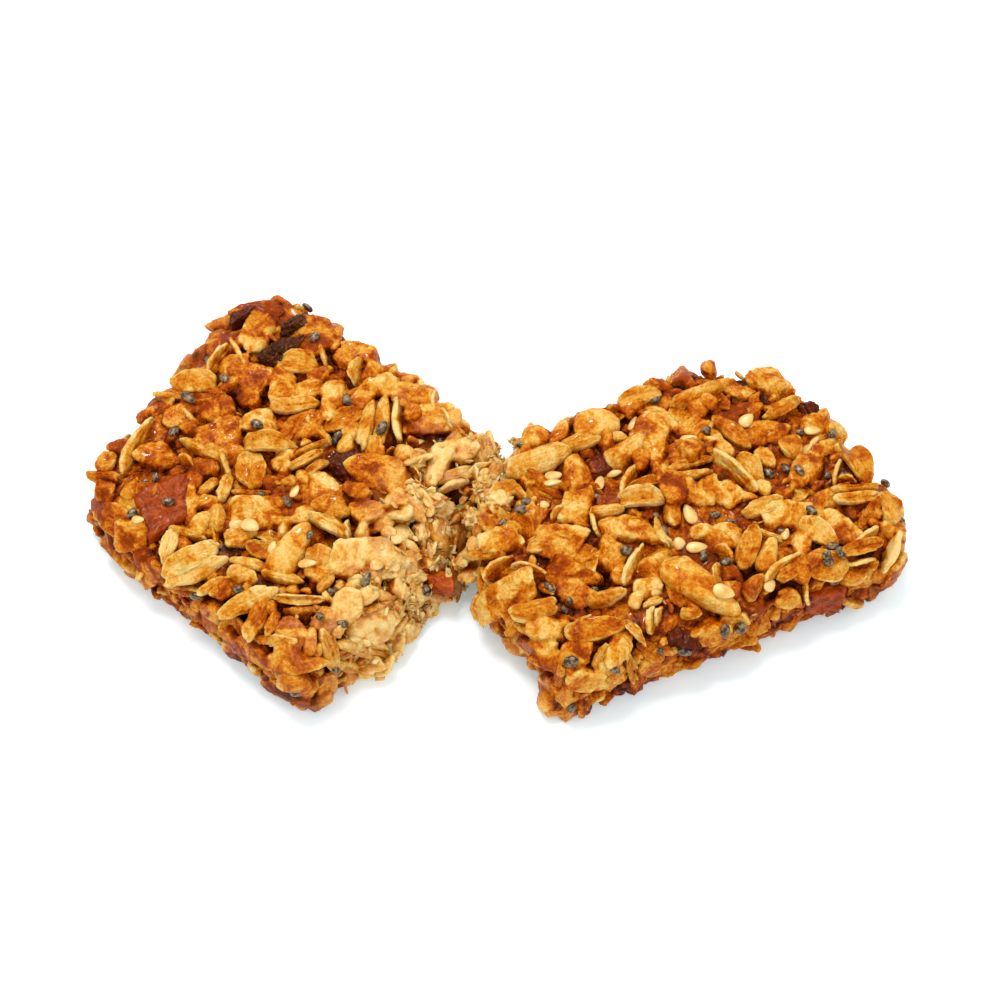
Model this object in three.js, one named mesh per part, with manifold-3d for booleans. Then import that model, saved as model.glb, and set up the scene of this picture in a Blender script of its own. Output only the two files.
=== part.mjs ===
// A granola bar snapped across its middle. The two halves lie flat, swung apart like an opened hinge, and
// still meet along the back of the break. Each half is a slab of syrup-bound crumb with the oat flakes, nut
// pieces and seeds that show pressed into it. The dried fruit pieces are separate solids in pockets of their own.
// Units are millimetres, +Z is up, and the origin is at the bottom centre of the bar's box.
import * as THREE from "three";
import { mergeVertices } from "three/addons/utils/BufferGeometryUtils.js";
import Module from "manifold-3d";

const wasm = await Module();
wasm.setup();

// ---- driving dimensions ----
const slabHeight = 12; // the pieces stand up to 3 mm above the slab
const fitGap = 0.3; // clearance between solids that would touch
const sliver = 0.02; // edges shorter than this are closed up
const outlineSteps = 44; // points round the slab's outline
const levels = [[0, 0.8], [0.2, 0], [0.55, 0], [0.85, 0.6], [1, 2.6]]; // [share of the height, drawn in by]
const breakDepth = 14; // how far from the break the slope of the torn face reaches
const wallSink = 1.5; // how much deeper pieces are pressed in on the moulded sides than on top

// The break surface between the halves: a leaning plane through a point on the floor.
const breakPlane = { point: [-5.8, -13.5, 0], heading: 66, leanDegrees: 19 };

// Each half has axes of its own: along runs from the break to the moulded end, and across over the width.
// endSkew slants the moulded end. tornEdge gives [across, along] of the torn edge at the floor, and
// tornLean how far that edge has moved along by the top of the slab.
// placed pieces are [kind, [along, across, height], [length, width, thickness], turn, tilt].
const halves = {
  left: {
    seed: 11,
    side: -1,
    centre: [-12.7, -13.9],
    heading: 138.5,
    length: 50.6,
    width: 50.6,
    cornerRadii: [8, 11],
    endSkew: -0.09,
    tornEdge: [[-25, 1.2], [-15, -3.6], [-6, -4.8], [3, -4.3], [11, -5.5], [18, -2.5], [25, -1.2]],
    tornLean: [[-25, 4.5], [-15, 9.5], [-6, 9], [3, 6], [11, 3.5], [18, 1.5], [25, 1]],
    placed: [
      ["flake", [47, -2, 12], [6.5, 3.5, 1.8], 5, 0],
      ["nut", [45.5, -14.5, 14], [6.5, 4.5, 3.5], 80, 20],
      ["nut", [36, -9.5, 14], [7, 4, 4], 95, 8],
      ["nut", [34, -3, 13], [5, 5.5, 4], 10, 8],
      ["nut", [36, 3, 13], [6, 5.5, 3.5], 35, 12],
      ["flake", [29, 0, 14], [7.5, 3, 2], 0, 5],
      ["flake", [28, 4.5, 14], [6, 4.5, 1.8], 100, 5],
      ["flake", [47.5, 11, 9], [10, 4, 1.4], 65, 78],
      ["flake", [24, 21, 13], [9.5, 3.5, 1.8], 25, 10],
      ["flake", [23.5, 23, 11], [9.5, 4, 1.8], 25, 12],
      ["nut", [13.5, 11, 14], [10, 4.5, 3.5], 60, 6],
      ["flake", [17.5, -0.5, 14], [6.5, 4.5, 2], -5, 8],
      ["flake", [14, 20.5, 10], [10, 3.5, 2], 30, 20],
      ["nut", [5, 7, 13], [7.5, 6, 4], 75, 10],
      ["nut", [-3, 9, 8], [10, 7.5, 5], 30, 25],
      ["flake", [-2.5, 13.5, 4], [9.5, 5, 3], -25, 30],
      ["nut", [12.5, -8, 13], [8, 7, 4], 0, 10],
      ["nut", [29, -13.5, 13], [7.5, 4, 3.5], 85, 8],
      ["flake", [10, -14.5, 12], [11, 6, 2], 75, 15],
      ["nut", [48.5, -18.5, 13], [6, 4, 3.5], 25, 20],
      ["nut", [40, -20, 13], [7, 6.5, 4], 25, 8],
    ],
  },
  right: {
    seed: 29,
    side: 1,
    centre: [1.5, -13.3],
    heading: 23.5,
    length: 56,
    width: 43.2,
    cornerRadii: [8, 16],
    endSkew: -0.06,
    tornEdge: [[-21, -1.3], [-15, -0.7], [-8, -1.4], [0, -2.1], [8, 0.6], [14, 5.8], [21, 10.6]],
    tornLean: [[-21, 0], [-15, -2], [-8, -4], [0, -4.5], [8, -4], [14, -3], [21, -1]],
    placed: [
      ["nut", [12.5, 19, 12], [4, 4, 3.2], 5, 0],
      ["flake", [10.5, 13.5, 13], [9.5, 5, 2.2], 20, 5],
      ["nut", [21.5, 16.5, 13], [7.5, 5, 4], 0, 5],
      ["nut", [14.5, 8, 13], [6.5, 5, 3.5], 90, 8],
      ["nut", [6, -0.5, 13], [8, 6.5, 4.5], -10, 8],
      ["nut", [17.5, -3, 14], [9, 5.5, 3.5], -5, 5],
      ["nut", [27.5, 8.5, 14], [7.5, 4.5, 4], -65, 12],
      ["flake", [36.5, -0.5, 14], [10, 4, 1.6], -45, 60],
      ["nut", [41, 6.5, 14], [7.5, 7.5, 4], -10, 12],
      ["nut", [49, 12, 14], [5.5, 5.5, 5], 35, 15],
      ["nut", [39, -10.5, 13], [6, 5, 3.5], 0, 8],
      ["flake", [46.5, -15, 13], [7.5, 5, 2.2], -45, 15],
      ["nut", [23, -15.5, 11], [12.5, 6, 3.5], -40, 15],
      ["nut", [28.5, -9.5, 13], [8, 6.5, 3], -25, 8],
      ["flake", [34.5, -15, 12], [6.5, 3, 2.2], 80, 15],
      ["flake", [54, -14, 11], [8.5, 6, 3], 75, 20],
      ["nut", [-3, -3, 7], [9.5, 7, 5], 25, 10],
      ["nut", [-0.5, -8, 6], [7.5, 6, 4.5], 10, 20],
      ["nut", [-2, -18.5, 3.5], [7.5, 6, 5], 90, 20],
      ["nut", [6.5, -7.5, 11], [9, 7, 4.5], -40, 12],
      ["nut", [6, -15.5, 8], [8.5, 7, 3.5], 20, 45],
    ],
  },
};

// The kinds of piece. size is [length, width, thickness] and spread the share by which each varies.
// spacing is the least distance between two of a kind, raised how far the middle stands off the slab as a
// share of the thickness, and tilt the usual lean in degrees. sides is how many sides the shape has.
const kinds = {
  nut: { count: 26, size: [7, 5, 3.4], spread: 0.22, spacing: 6.2, raised: 0.22, tilt: 16, sides: 5 },
  flake: { count: 46, size: [8.2, 4.6, 1.5], spread: 0.2, spacing: 5, raised: 0.45, tilt: 20, sides: 6 },
  shred: { count: 22, size: [6, 2.6, 1.1], spread: 0.25, spacing: 5, raised: 0.8, tilt: 45, sides: 5 },
  sesame: { count: 12, size: [3.1, 1.9, 1], spread: 0.08, spacing: 8, raised: 1.5, tilt: 14, sides: 5 },
};

// The dried fruit: [half, [along, across, height], [length, width, thickness], turn]. squareness is 2 for a
// round lump and more for a cube-like one.
const fruits = {
  cranberry_centre: ["left", [19.4, -6.1, 11.8], [6.2, 5.8, 4.4], 0],
  raisin_back: ["left", [41.1, -12.9, 12], [5, 4.8, 3.8], 12],
  raisin_ridge: ["left", [42.7, -18.6, 12.3], [5.4, 2.8, 3.4], 77],
  cranberry_tip: ["left", [50.4, -15.4, 11.4], [5.5, 3, 4.6], 98],
  raisin_front: ["left", [20.5, 15.9, 11.6], [5.4, 4.2, 3.6], -12],
  raisin_side: ["left", [18.6, 22.6, 8], [4.8, 3.8, 3.6], 12],
  date_cube: ["left", [33, 17, 10.2], [9, 7, 6], 82],
  cranberry_large: ["right", [19.1, -19.2, 8], [9.4, 5.6, 6.4], 73],
  cranberry_upper: ["right", [18.9, 9.1, 12.2], [4.8, 4.2, 3.6], 0],
  cranberry_middle: ["right", [17.3, 2.5, 12.2], [4, 4, 3.4], 0],
  cranberry_corner: ["right", [52.5, 6.3, 11.4], [4.2, 3, 3.6], -77],
  date_side: ["right", [41.2, -20.6, 6], [7.6, 5.6, 6.6], 82],
};
const squareness = { cranberry: 2.2, raisin: 2, date: 4.5 };
const dents = 0.24; // how unevenly the skin of a fruit piece is pushed in and out

const colours = { left: 0xc98a3a, right: 0xc4812f, cranberry: 0x5a1a20, raisin: 0x3a1a18, date: 0xa4481c };

const radians = THREE.MathUtils.degToRad;
const up = new THREE.Vector3(0, 0, 1);

// A repeatable stream of numbers from 0 to 1.
function makeRandom(seed) {
  let state = seed * 7919 + 13;
  return () => {
    state = (state * 1664525 + 1013904223) % 4294967296;
    return state / 4294967296;
  };
}

// Reads a list of [position, value] pairs, in straight steps between them.
function readTable(table, position) {
  let i = 1;
  while (i < table.length - 1 && position > table[i][0]) i++;
  const [x0, y0] = table[i - 1];
  const [x1, y1] = table[i];
  const share = THREE.MathUtils.clamp((position - x0) / (x1 - x0), 0, 1);
  return y0 + (y1 - y0) * share;
}

// The floor outline of a half as evenly spaced [along, across] points, anticlockwise from the break.
function outlineOf({ length, width, cornerRadii, endSkew, tornEdge }) {
  const side = width / 2;
  const path = [[readTable(tornEdge, -side), -side]];
  cornerRadii.forEach((radius, corner) => {
    const centre = [length - radius, corner ? side - radius : radius - side];
    for (let step = 0; step <= 8; step++) {
      const angle = radians((corner ? 0 : -90) + (90 * step) / 8);
      const across = centre[1] + radius * Math.sin(angle);
      path.push([centre[0] + radius * Math.cos(angle) + endSkew * across, across]);
    }
  });
  for (const [across, along] of [...tornEdge].reverse()) {
    path.push([along, THREE.MathUtils.clamp(across, -side, side)]);
  }
  return spaceEvenly(path, outlineSteps);
}

// The same closed path as count points at equal distances.
function spaceEvenly(path, count) {
  const reach = [0];
  for (let i = 1; i < path.length; i++) {
    reach.push(reach[i - 1] + Math.hypot(path[i][0] - path[i - 1][0], path[i][1] - path[i - 1][1]));
  }
  const spaced = [];
  for (let k = 0; k < count; k++) {
    const target = (reach[reach.length - 1] * k) / count;
    let i = 1;
    while (reach[i] < target) i++;
    const share = (target - reach[i - 1]) / (reach[i] - reach[i - 1]);
    spaced.push([0, 1].map((axis) => path[i - 1][axis] + (path[i][axis] - path[i - 1][axis]) * share));
  }
  return spaced;
}

// Moves each point of a closed outline inwards, square to the line between its neighbours.
function inset(outline, distance) {
  return outline.map((point, k) => {
    const before = outline[(k + outline.length - 1) % outline.length];
    const after = outline[(k + 1) % outline.length];
    const run = [after[0] - before[0], after[1] - before[1]];
    const size = Math.hypot(run[0], run[1]);
    return [point[0] - (run[1] / size) * distance, point[1] + (run[0] / size) * distance];
  });
}

// A point given in a half's axes, in the axes that both halves share.
function place(half, [along, across, height]) {
  const turn = radians(half.heading);
  return new THREE.Vector3(
    half.centre[0] + along * Math.cos(turn) - across * Math.sin(turn),
    half.centre[1] + along * Math.sin(turn) + across * Math.cos(turn),
    height,
  );
}

// The slab of a half: rings of points from the floor to the top, and a middle point at each end.
function slabOf(half) {
  const floor = outlineOf(half);
  const points = [];
  for (const [share, drawnIn] of levels) {
    for (const [along, across] of inset(floor, drawnIn)) {
      const fromBreak = along - readTable(half.tornEdge, across);
      const fade = THREE.MathUtils.clamp(1 - fromBreak / breakDepth, 0, 1);
      const moved = along + readTable(half.tornLean, across) * share * fade;
      points.push(place(half, [moved, across, share * slabHeight]));
    }
  }
  const middle = half.length / 2;
  points.push(place(half, [middle, 0, 0]), place(half, [middle, 0, slabHeight]));
  const triangles = [];
  const top = (levels.length - 1) * outlineSteps;
  for (let j = 0; j < outlineSteps; j++) {
    const next = (j + 1) % outlineSteps;
    for (let ring = 0; ring < top; ring += outlineSteps) {
      const [a, b] = [ring + j, ring + next];
      triangles.push([a, b, b + outlineSteps], [a, b + outlineSteps, a + outlineSteps]);
    }
    triangles.push([top + j, top + next, points.length - 1], [next, j, points.length - 2]);
  }
  return { points, triangles };
}

// The skin of a slab: draw gives a random place on it and nearest the place closest to a point, each with
// its normal blended between the corners of the triangle.
function skinOf(slab) {
  const normals = slab.points.map(() => new THREE.Vector3());
  const faces = slab.triangles.map((corners) => {
    const face = new THREE.Triangle(...corners.map((i) => slab.points[i]));
    const square = face.getNormal(new THREE.Vector3()).multiplyScalar(face.getArea());
    corners.forEach((i) => normals[i].add(square));
    return { corners, face };
  });
  normals.forEach((normal) => normal.normalize());
  let total = 0;
  const reach = faces.map(({ face }) => (total += face.getArea()));
  const seat = ({ corners }, weights) => {
    const point = new THREE.Vector3();
    const normal = new THREE.Vector3();
    corners.forEach((i, k) => {
      point.addScaledVector(slab.points[i], weights[k]);
      normal.addScaledVector(normals[i], weights[k]);
    });
    return { point, normal: normal.normalize() };
  };
  const draw = (random) => {
    const target = random() * total;
    const [first, second] = [Math.sqrt(random()), random()];
    return seat(faces[reach.findIndex((sum) => sum >= target)], [1 - first, first * (1 - second), first * second]);
  };
  const nearest = (point) => {
    let best = { distance: Infinity };
    for (const entry of faces) {
      const foot = entry.face.closestPointToPoint(point, new THREE.Vector3());
      const distance = foot.distanceTo(point);
      if (distance < best.distance) best = { distance, entry, foot };
    }
    return seat(best.entry, best.entry.face.getBarycoord(best.foot, new THREE.Vector3()).toArray());
  };
  return { draw, nearest };
}

// The pieces of a half: the placed ones, then each kind strewn over the skin, two of a kind a spacing apart
// and all of them off the fruit and the floor. Most lie nearly flat and a few stand up.
function layPieces(half, balls) {
  const skin = skinOf(slabOf(half));
  const random = makeRandom(half.seed);
  const laid = half.placed.map(([kind, spot, size, yaw, tilt]) => {
    return { kind, ...skin.nearest(place(half, spot)), size, yaw, tilt, leanYaw: yaw, lift: 0.5 };
  });
  for (const [kind, rule] of Object.entries(kinds)) {
    let made = 0;
    for (let tries = 0; made < rule.count && tries < 4000; tries++) {
      const { point, normal } = skin.draw(random);
      const crowded = laid.some((other) => {
        return other.point.distanceTo(point) < rule.spacing * (other.kind === kind ? 1 : 0.45);
      });
      const onFruit = balls.some((ball) => ball.centre.distanceTo(point) < ball.radius + rule.size[1] / 2);
      if (crowded || onFruit || normal.z < -0.5) continue;
      const size = rule.size.map((length) => length * (1 + rule.spread * (2 * random() - 1)));
      const yaw = random() * 360;
      const tilt = rule.tilt * (0.25 + 2.2 * random() ** 3);
      laid.push({ kind, point, normal, size, yaw, tilt, leanYaw: random() * 360, lift: random() });
      made++;
    }
  }
  return laid;
}

// Where a piece sits: turned about its own upright, tilted, then stood on the skin.
function seatOf({ kind, point, normal, size, yaw, tilt, leanYaw, lift }) {
  const turn = new THREE.Quaternion().setFromAxisAngle(up, radians(yaw));
  const leanAxis = new THREE.Vector3(Math.cos(radians(leanYaw)), Math.sin(radians(leanYaw)), 0);
  const lean = new THREE.Quaternion().setFromAxisAngle(leanAxis, radians(tilt));
  const stand = new THREE.Quaternion().setFromUnitVectors(up, normal);
  const raise = size[2] * kinds[kind].raised * (0.5 + lift) * (1 - wallSink * (1 - Math.max(normal.z, 0)));
  const centre = point.clone().addScaledVector(normal, raise);
  return new THREE.Matrix4().compose(centre, stand.multiply(lean).multiply(turn), new THREE.Vector3(...size));
}

// A piece as a solid: a low prism with its upper edge drawn in.
function pieceSolid(piece) {
  const prism = new THREE.CylinderGeometry(0.4, 0.5, 1, kinds[piece.kind].sides).rotateX(Math.PI / 2);
  return solidFrom(prism.applyMatrix4(seatOf(piece)));
}

function solidFrom(geometry) {
  geometry.deleteAttribute("normal");
  geometry.deleteAttribute("uv");
  const merged = mergeVertices(geometry, 1e-4);
  return new wasm.Manifold(
    new wasm.Mesh({
      numProp: 3,
      vertProperties: new Float32Array(merged.attributes.position.array),
      triVerts: new Uint32Array(merged.index.array),
    }),
  );
}

function geometryFrom(solid) {
  const { vertProperties, triVerts } = solid.getMesh();
  const geometry = new THREE.BufferGeometry();
  geometry.setAttribute("position", new THREE.BufferAttribute(new Float32Array(vertProperties), 3));
  geometry.setIndex(new THREE.BufferAttribute(new Uint32Array(triVerts), 1));
  geometry.computeVertexNormals();
  return geometry;
}

function slabSolid(half) {
  const { points, triangles } = slabOf(half);
  const geometry = new THREE.BufferGeometry();
  geometry.setAttribute("position", new THREE.Float32BufferAttribute(points.flatMap((p) => p.toArray()), 3));
  geometry.setIndex(triangles.flat());
  return solidFrom(geometry);
}

// Everything on a half's own side of the break, back by half the gap, and above the floor.
function roomFor(half) {
  const reach = 400;
  const block = new THREE.BoxGeometry(reach, reach, reach);
  block.translate((half.side * (reach + fitGap)) / 2, 0, 0);
  block.rotateY(radians(-breakPlane.leanDegrees));
  block.rotateZ(radians(breakPlane.heading - 90));
  block.translate(...breakPlane.point);
  const aboveFloor = new THREE.BoxGeometry(reach, reach, reach).translate(0, 0, reach / 2);
  return solidFrom(block).intersect(solidFrom(aboveFloor));
}

// A lump of dried fruit, grown outwards by grow: a ball squared off and dented.
function fruitGeometry(kind, size, turn, grow) {
  const lump = new THREE.IcosahedronGeometry(0.5, 1);
  lump.deleteAttribute("normal");
  lump.deleteAttribute("uv");
  const ball = mergeVertices(lump, 1e-4);
  const random = makeRandom(Math.round(size[0] * 10 + turn));
  const position = ball.getAttribute("position");
  const power = squareness[kind];
  for (let i = 0; i < position.count; i++) {
    const corner = new THREE.Vector3().fromBufferAttribute(position, i);
    const norm = corner.toArray().reduce((sum, part) => sum + Math.abs(part) ** power, 0) ** (1 / power);
    corner.multiplyScalar((0.5 / norm) * (1 + dents * (random() - 0.5)));
    position.setXYZ(i, ...corner.toArray());
  }
  ball.scale(...size.map((length) => length + 2 * grow));
  ball.rotateZ(radians(turn));
  return ball;
}

// A half: slab and pieces fused, cut at the floor and the break, with a pocket for each of its fruits.
// The biggest body is kept, without loose scraps or sealed hollows, and slivers in it are closed up.
function halfSolid(half, ownFruits) {
  const pieces = layPieces(half, ownFruits).map(pieceSolid);
  let solid = wasm.Manifold.union([slabSolid(half), ...pieces]).intersect(roomFor(half));
  for (const { pocket } of ownFruits) solid = solid.subtract(pocket);
  const bodies = solid.simplify(sliver).decompose();
  return bodies.reduce((best, body) => (body.volume() > best.volume() ? body : best));
}

function addMesh(group, name, geometry, colour, roughness) {
  const material = new THREE.MeshStandardMaterial({ color: colour, roughness, metalness: 0 });
  const mesh = new THREE.Mesh(geometry, material);
  mesh.name = name;
  group.add(mesh);
}

function buildBar() {
  const bar = new THREE.Group();
  const placedFruits = Object.entries(fruits).map(([name, [halfName, spot, size, turn]]) => {
    const kind = name.split("_")[0];
    const centre = place(halves[halfName], spot);
    const shape = (grow) => fruitGeometry(kind, size, turn, grow).translate(...centre.toArray());
    return { name, kind, halfName, centre, radius: (size[0] + size[1]) / 5, shape, pocket: solidFrom(shape(fitGap)) };
  });
  for (const [name, half] of Object.entries(halves)) {
    const ownFruits = placedFruits.filter((fruit) => fruit.halfName === name);
    addMesh(bar, `half_${name}`, geometryFrom(halfSolid(half, ownFruits)), colours[name], 0.45);
  }
  for (const { name, kind, shape } of placedFruits) addMesh(bar, name, shape(0), colours[kind], 0.35);
  const box = new THREE.Box3().setFromObject(bar);
  const middle = box.getCenter(new THREE.Vector3());
  bar.position.set(-middle.x, -middle.y, -box.min.z);
  return bar;
}

export default buildBar();
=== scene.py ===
import bisect
import math
import time

import bmesh
import bpy
import numpy as np
from mathutils import Matrix, Quaternion, Vector, noise
from mathutils.bvhtree import BVHTree


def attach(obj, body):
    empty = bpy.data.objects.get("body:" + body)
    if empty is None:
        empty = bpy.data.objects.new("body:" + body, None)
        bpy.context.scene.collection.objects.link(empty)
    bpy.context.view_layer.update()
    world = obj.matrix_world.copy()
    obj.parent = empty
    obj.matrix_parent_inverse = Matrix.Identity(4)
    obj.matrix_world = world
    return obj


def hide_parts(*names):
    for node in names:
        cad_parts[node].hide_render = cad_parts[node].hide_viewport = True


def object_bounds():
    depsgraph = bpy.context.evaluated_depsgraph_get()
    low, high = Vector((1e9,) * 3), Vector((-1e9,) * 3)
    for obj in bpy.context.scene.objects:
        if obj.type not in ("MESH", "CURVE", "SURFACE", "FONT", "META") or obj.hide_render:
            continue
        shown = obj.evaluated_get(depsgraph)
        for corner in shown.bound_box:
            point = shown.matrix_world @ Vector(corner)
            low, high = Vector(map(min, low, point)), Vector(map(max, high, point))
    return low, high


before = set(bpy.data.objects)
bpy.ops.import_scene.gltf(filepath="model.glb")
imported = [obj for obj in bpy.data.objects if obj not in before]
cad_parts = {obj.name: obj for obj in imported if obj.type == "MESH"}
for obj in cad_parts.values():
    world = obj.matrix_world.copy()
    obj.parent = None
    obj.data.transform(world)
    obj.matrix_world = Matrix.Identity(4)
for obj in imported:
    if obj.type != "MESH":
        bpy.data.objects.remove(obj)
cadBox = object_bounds()
startTime = time.time()

# Everything below is laid out in millimetres, and made metres when a mesh is written.
bar = {
    "slabHeight": 12.0,
    "outlineSteps": 44,
    "cornerSteps": 8,
    "levels": [(0, 0.8), (0.2, 0), (0.55, 0), (0.85, 0.6), (1, 2.6)],  # share of the height, drawn in by
    "breakDepth": 14.0,  # how far behind the break the lean of its face has faded out
    "breakPoint": (-5.8, -13.5, 0),  # on the plane where the halves still cling together
    "breakHeading": 66,
    "breakLean": 19,
    "breakGap": -1.6,
    "sink": 0.3,  # how deep the pieces sit: everywhere, more on walls, and more on the face of the break
    "wallSink": 1.5,
    "wallSinkMore": 0.85,
    "sinkTorn": 0.9,
    "faceReach": 1.4,  # the face of the break, and what it leaves bare: how far they reach
    "faceFade": 3,
    "bareReach": 1.25,
    "bed": 0.25,  # how far syrup and crumb fill up between the pieces on top
    "bedInset": 1.7,
    "bedTorn": 2.1,
    "bedTone": 0.14,
    "fruitRoom": 4.3,  # a fruit's length and width together, by the radius that is kept clear for it
    "bakedFrom": 27,  # the far ends are baked darker from here on, over so much
    "bakedOver": 12,
    "shift": (1.19, -2.155),  # from the layout's axes to the frame's
}

# Along is measured from the middle of the torn edge to the far end, and across to its left. The torn edge,
# its lean and how bare it is are tables by the place across.
halves = {
    "left": {
        "seed": 11,
        "sinkBack": 1.0,
        "sinkFront": -1.0,
        "bakedEnd": 0.1,
        "side": -1,
        "centre": (-12.7, -13.9),
        "heading": 138.5,
        "length": 50.6,
        "width": 50.6,
        "cornerRadii": (8, 11),
        "endSkew": -0.09,
        "tornEdge": [(-25, 2.6), (-15, -3.6), (-6, -4.8), (3, -4.3), (11, -5.5), (18, -2.5), (25, -1.2)],
        "tornLean": [(-25, 4.5), (-15, 9.5), (-6, 9), (3, 6), (11, 3.5), (18, 1.5), (25, 1)],
        "tornDepth": 7.5,
        "tornPale": [(-30, 0.5), (-22, 0.9), (4, 1), (13, 0.9), (18, 0.4), (22, 0.1), (30, 0)],
        "placed": [  # kind, (along, across, height), (length, width, thickness), turn, tilt
            ("flake", (47, -2, 12), (6.5, 3.5, 1.8), 5, 0),
            ("nut", (45.5, -14.5, 14), (6.5, 4.5, 3.5), 80, 20),
            ("nut", (36, -9.5, 14), (7, 4, 4), 95, 8),
            ("nut", (34, -3, 13), (5, 5.5, 4), 10, 8),
            ("nut", (36, 3, 13), (6, 5.5, 3.5), 35, 12),
            ("flake", (29, 0, 14), (7.5, 3, 2), 0, 5),
            ("flake", (28, 4.5, 14), (6, 4.5, 1.8), 100, 5),
            ("flake", (47.5, 11, 9), (10, 4, 1.4), 65, 78),
            ("flake", (24, 21, 13), (9.5, 3.5, 1.8), 25, 10),
            ("flake", (23.5, 23, 11), (9.5, 4, 1.8), 25, 12),
            ("nut", (13.5, 11, 14), (10, 4.5, 3.5), 60, 6),
            ("flake", (17.5, -0.5, 14), (6.5, 4.5, 2), -5, 8),
            ("flake", (14, 20.5, 10), (10, 3.5, 2), 30, 20),
            ("nut", (5, 7, 13), (7.5, 6, 4), 75, 10),
            ("nut", (-3, 9, 8), (10, 7.5, 5), 30, 25),
            ("flake", (-2.5, 13.5, 4), (9.5, 5, 3), -25, 30),
            ("nut", (12.5, -8, 13), (8, 7, 4), 0, 10),
            ("nut", (29, -13.5, 13), (7.5, 4, 3.5), 85, 8),
            ("flake", (10, -14.5, 12), (11, 6, 2), 75, 15),
            ("nut", (48.5, -18.5, 13), (6, 4, 3.5), 25, 20),
            ("nut", (40, -20, 13), (7, 6.5, 4), 25, 8),
        ],
    },
    "right": {
        "seed": 29,
        "sinkBack": 1.6,
        "sinkFront": -1.2,
        "bakedEnd": 0.02,
        "side": 1,
        "centre": (1.5, -13.3),
        "heading": 23.5,
        "length": 56,
        "width": 43.2,
        "cornerRadii": (8, 16),
        "endSkew": -0.06,
        "tornEdge": [(-21, -1.3), (-15, -0.7), (-8, -1.4), (0, -2.1), (8, 0.6), (14, 5.8), (21, 10.6)],
        "tornLean": [(-21, 0), (-15, -2), (-8, -4), (0, -4.5), (8, -4), (14, -3), (21, -1)],
        "tornDepth": 3.5,
        "tornPale": [(-30, 0), (4, 0), (9, 0.5), (20, 0.7)],
        "placed": [
            ("nut", (12.5, 19, 12), (4, 4, 3.2), 5, 0),
            ("flake", (10.5, 13.5, 13), (9.5, 5, 2.2), 20, 5),
            ("nut", (21.5, 16.5, 13), (7.5, 5, 4), 0, 5),
            ("nut", (14.5, 8, 13), (6.5, 5, 3.5), 90, 8),
            ("nut", (6, -0.5, 13), (8, 6.5, 4.5), -10, 8),
            ("nut", (17.5, -3, 14), (9, 5.5, 3.5), -5, 5),
            ("nut", (27.5, 8.5, 14), (7.5, 4.5, 4), -65, 12),
            ("flake", (36.5, -0.5, 14), (10, 4, 1.6), -45, 60),
            ("nut", (41, 6.5, 14), (7.5, 7.5, 4), -10, 12),
            ("nut", (49, 12, 14), (5.5, 5.5, 5), 35, 15),
            ("nut", (39, -10.5, 13), (6, 5, 3.5), 0, 8),
            ("flake", (46.5, -15, 13), (7.5, 5, 2.2), -45, 15),
            ("nut", (23, -15.5, 11), (12.5, 6, 3.5), -40, 15),
            ("nut", (28.5, -9.5, 13), (8, 6.5, 3), -25, 8),
            ("flake", (34.5, -15, 12), (6.5, 3, 2.2), 80, 15),
            ("flake", (54, -14, 11), (8.5, 6, 3), 75, 20),
            ("nut", (-3, -3, 7), (9.5, 7, 5), 25, 10),
            ("nut", (-0.5, -8, 6), (7.5, 6, 4.5), 10, 20),
            ("nut", (-2, -18.5, 3.5), (7.5, 6, 5), 90, 20),
            ("nut", (6.5, -7.5, 11), (9, 7, 4.5), -40, 12),
            ("nut", (6, -15.5, 8), (8.5, 7, 3.5), 20, 45),
        ],
    },
}

# size is (length, width, thickness), apart the least distance between two of a kind, and raised how far
# the middle stands off the slab as a share of the thickness. The first four kinds are the solids' own.
kinds = {
    "nut": {"count": 26, "size": (7, 5, 3.4), "spread": 0.22, "apart": 6.2, "raised": 0.2, "tilt": 16},
    "flake": {"count": 46, "size": (8.2, 4.6, 1.5), "spread": 0.2, "apart": 5, "raised": 0.45, "tilt": 20},
    "shred": {"count": 22, "size": (6, 2.6, 1.1), "spread": 0.25, "apart": 5, "raised": 0.8, "tilt": 45},
    "sesame": {"count": 12, "size": (3.1, 1.9, 1), "spread": 0.08, "apart": 8, "raised": 1.5, "tilt": 14},
    "oat": {"count": 70, "size": (6.4, 3.8, 1.5), "spread": 0.28, "apart": 3.8, "raised": 0.7, "tilt": 26},
    "kernel": {"count": 26, "size": (4.6, 3, 2.2), "spread": 0.3, "apart": 5, "raised": 0.5, "tilt": 20},
    "chip": {"count": 170, "size": (3.9, 3, 2.4), "spread": 0.35, "apart": 2.7, "raised": 0.45, "tilt": 30},
    "sliver": {"count": 60, "size": (5.5, 2.4, 1), "spread": 0.3, "apart": 3.2, "raised": 1.1, "tilt": 50},
    "curl": {"count": 6, "size": (3.4, 2.6, 1.8), "spread": 0.25, "apart": 7, "raised": 0.7, "tilt": 50},
    "bit": {"count": 190, "size": (2.7, 1.4, 0.6), "spread": 0.4, "apart": 2, "raised": 0.9, "tilt": 30},
    "grit": {"count": 360, "size": (2.2, 1.7, 1.4), "spread": 0.45, "apart": 1.3, "raised": 0.6, "tilt": 60},
    "crumb": {"raised": 0.35},
    "lump": {"raised": 0.35},
    "scale": {"raised": 1},
}
solidKinds = ("nut", "flake", "shred", "sesame")
looseKinds = ("oat", "kernel", "sliver", "curl", "chip", "bit", "grit")
fineKinds = ("bit", "grit")
thinKinds = ("oat", "flake", "shred", "sliver", "curl", "scale", "bit")
crispKinds = ("oat", "kernel", "sliver", "curl", "bit", "crumb", "lump")  # whole, on top of the fused mass

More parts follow.
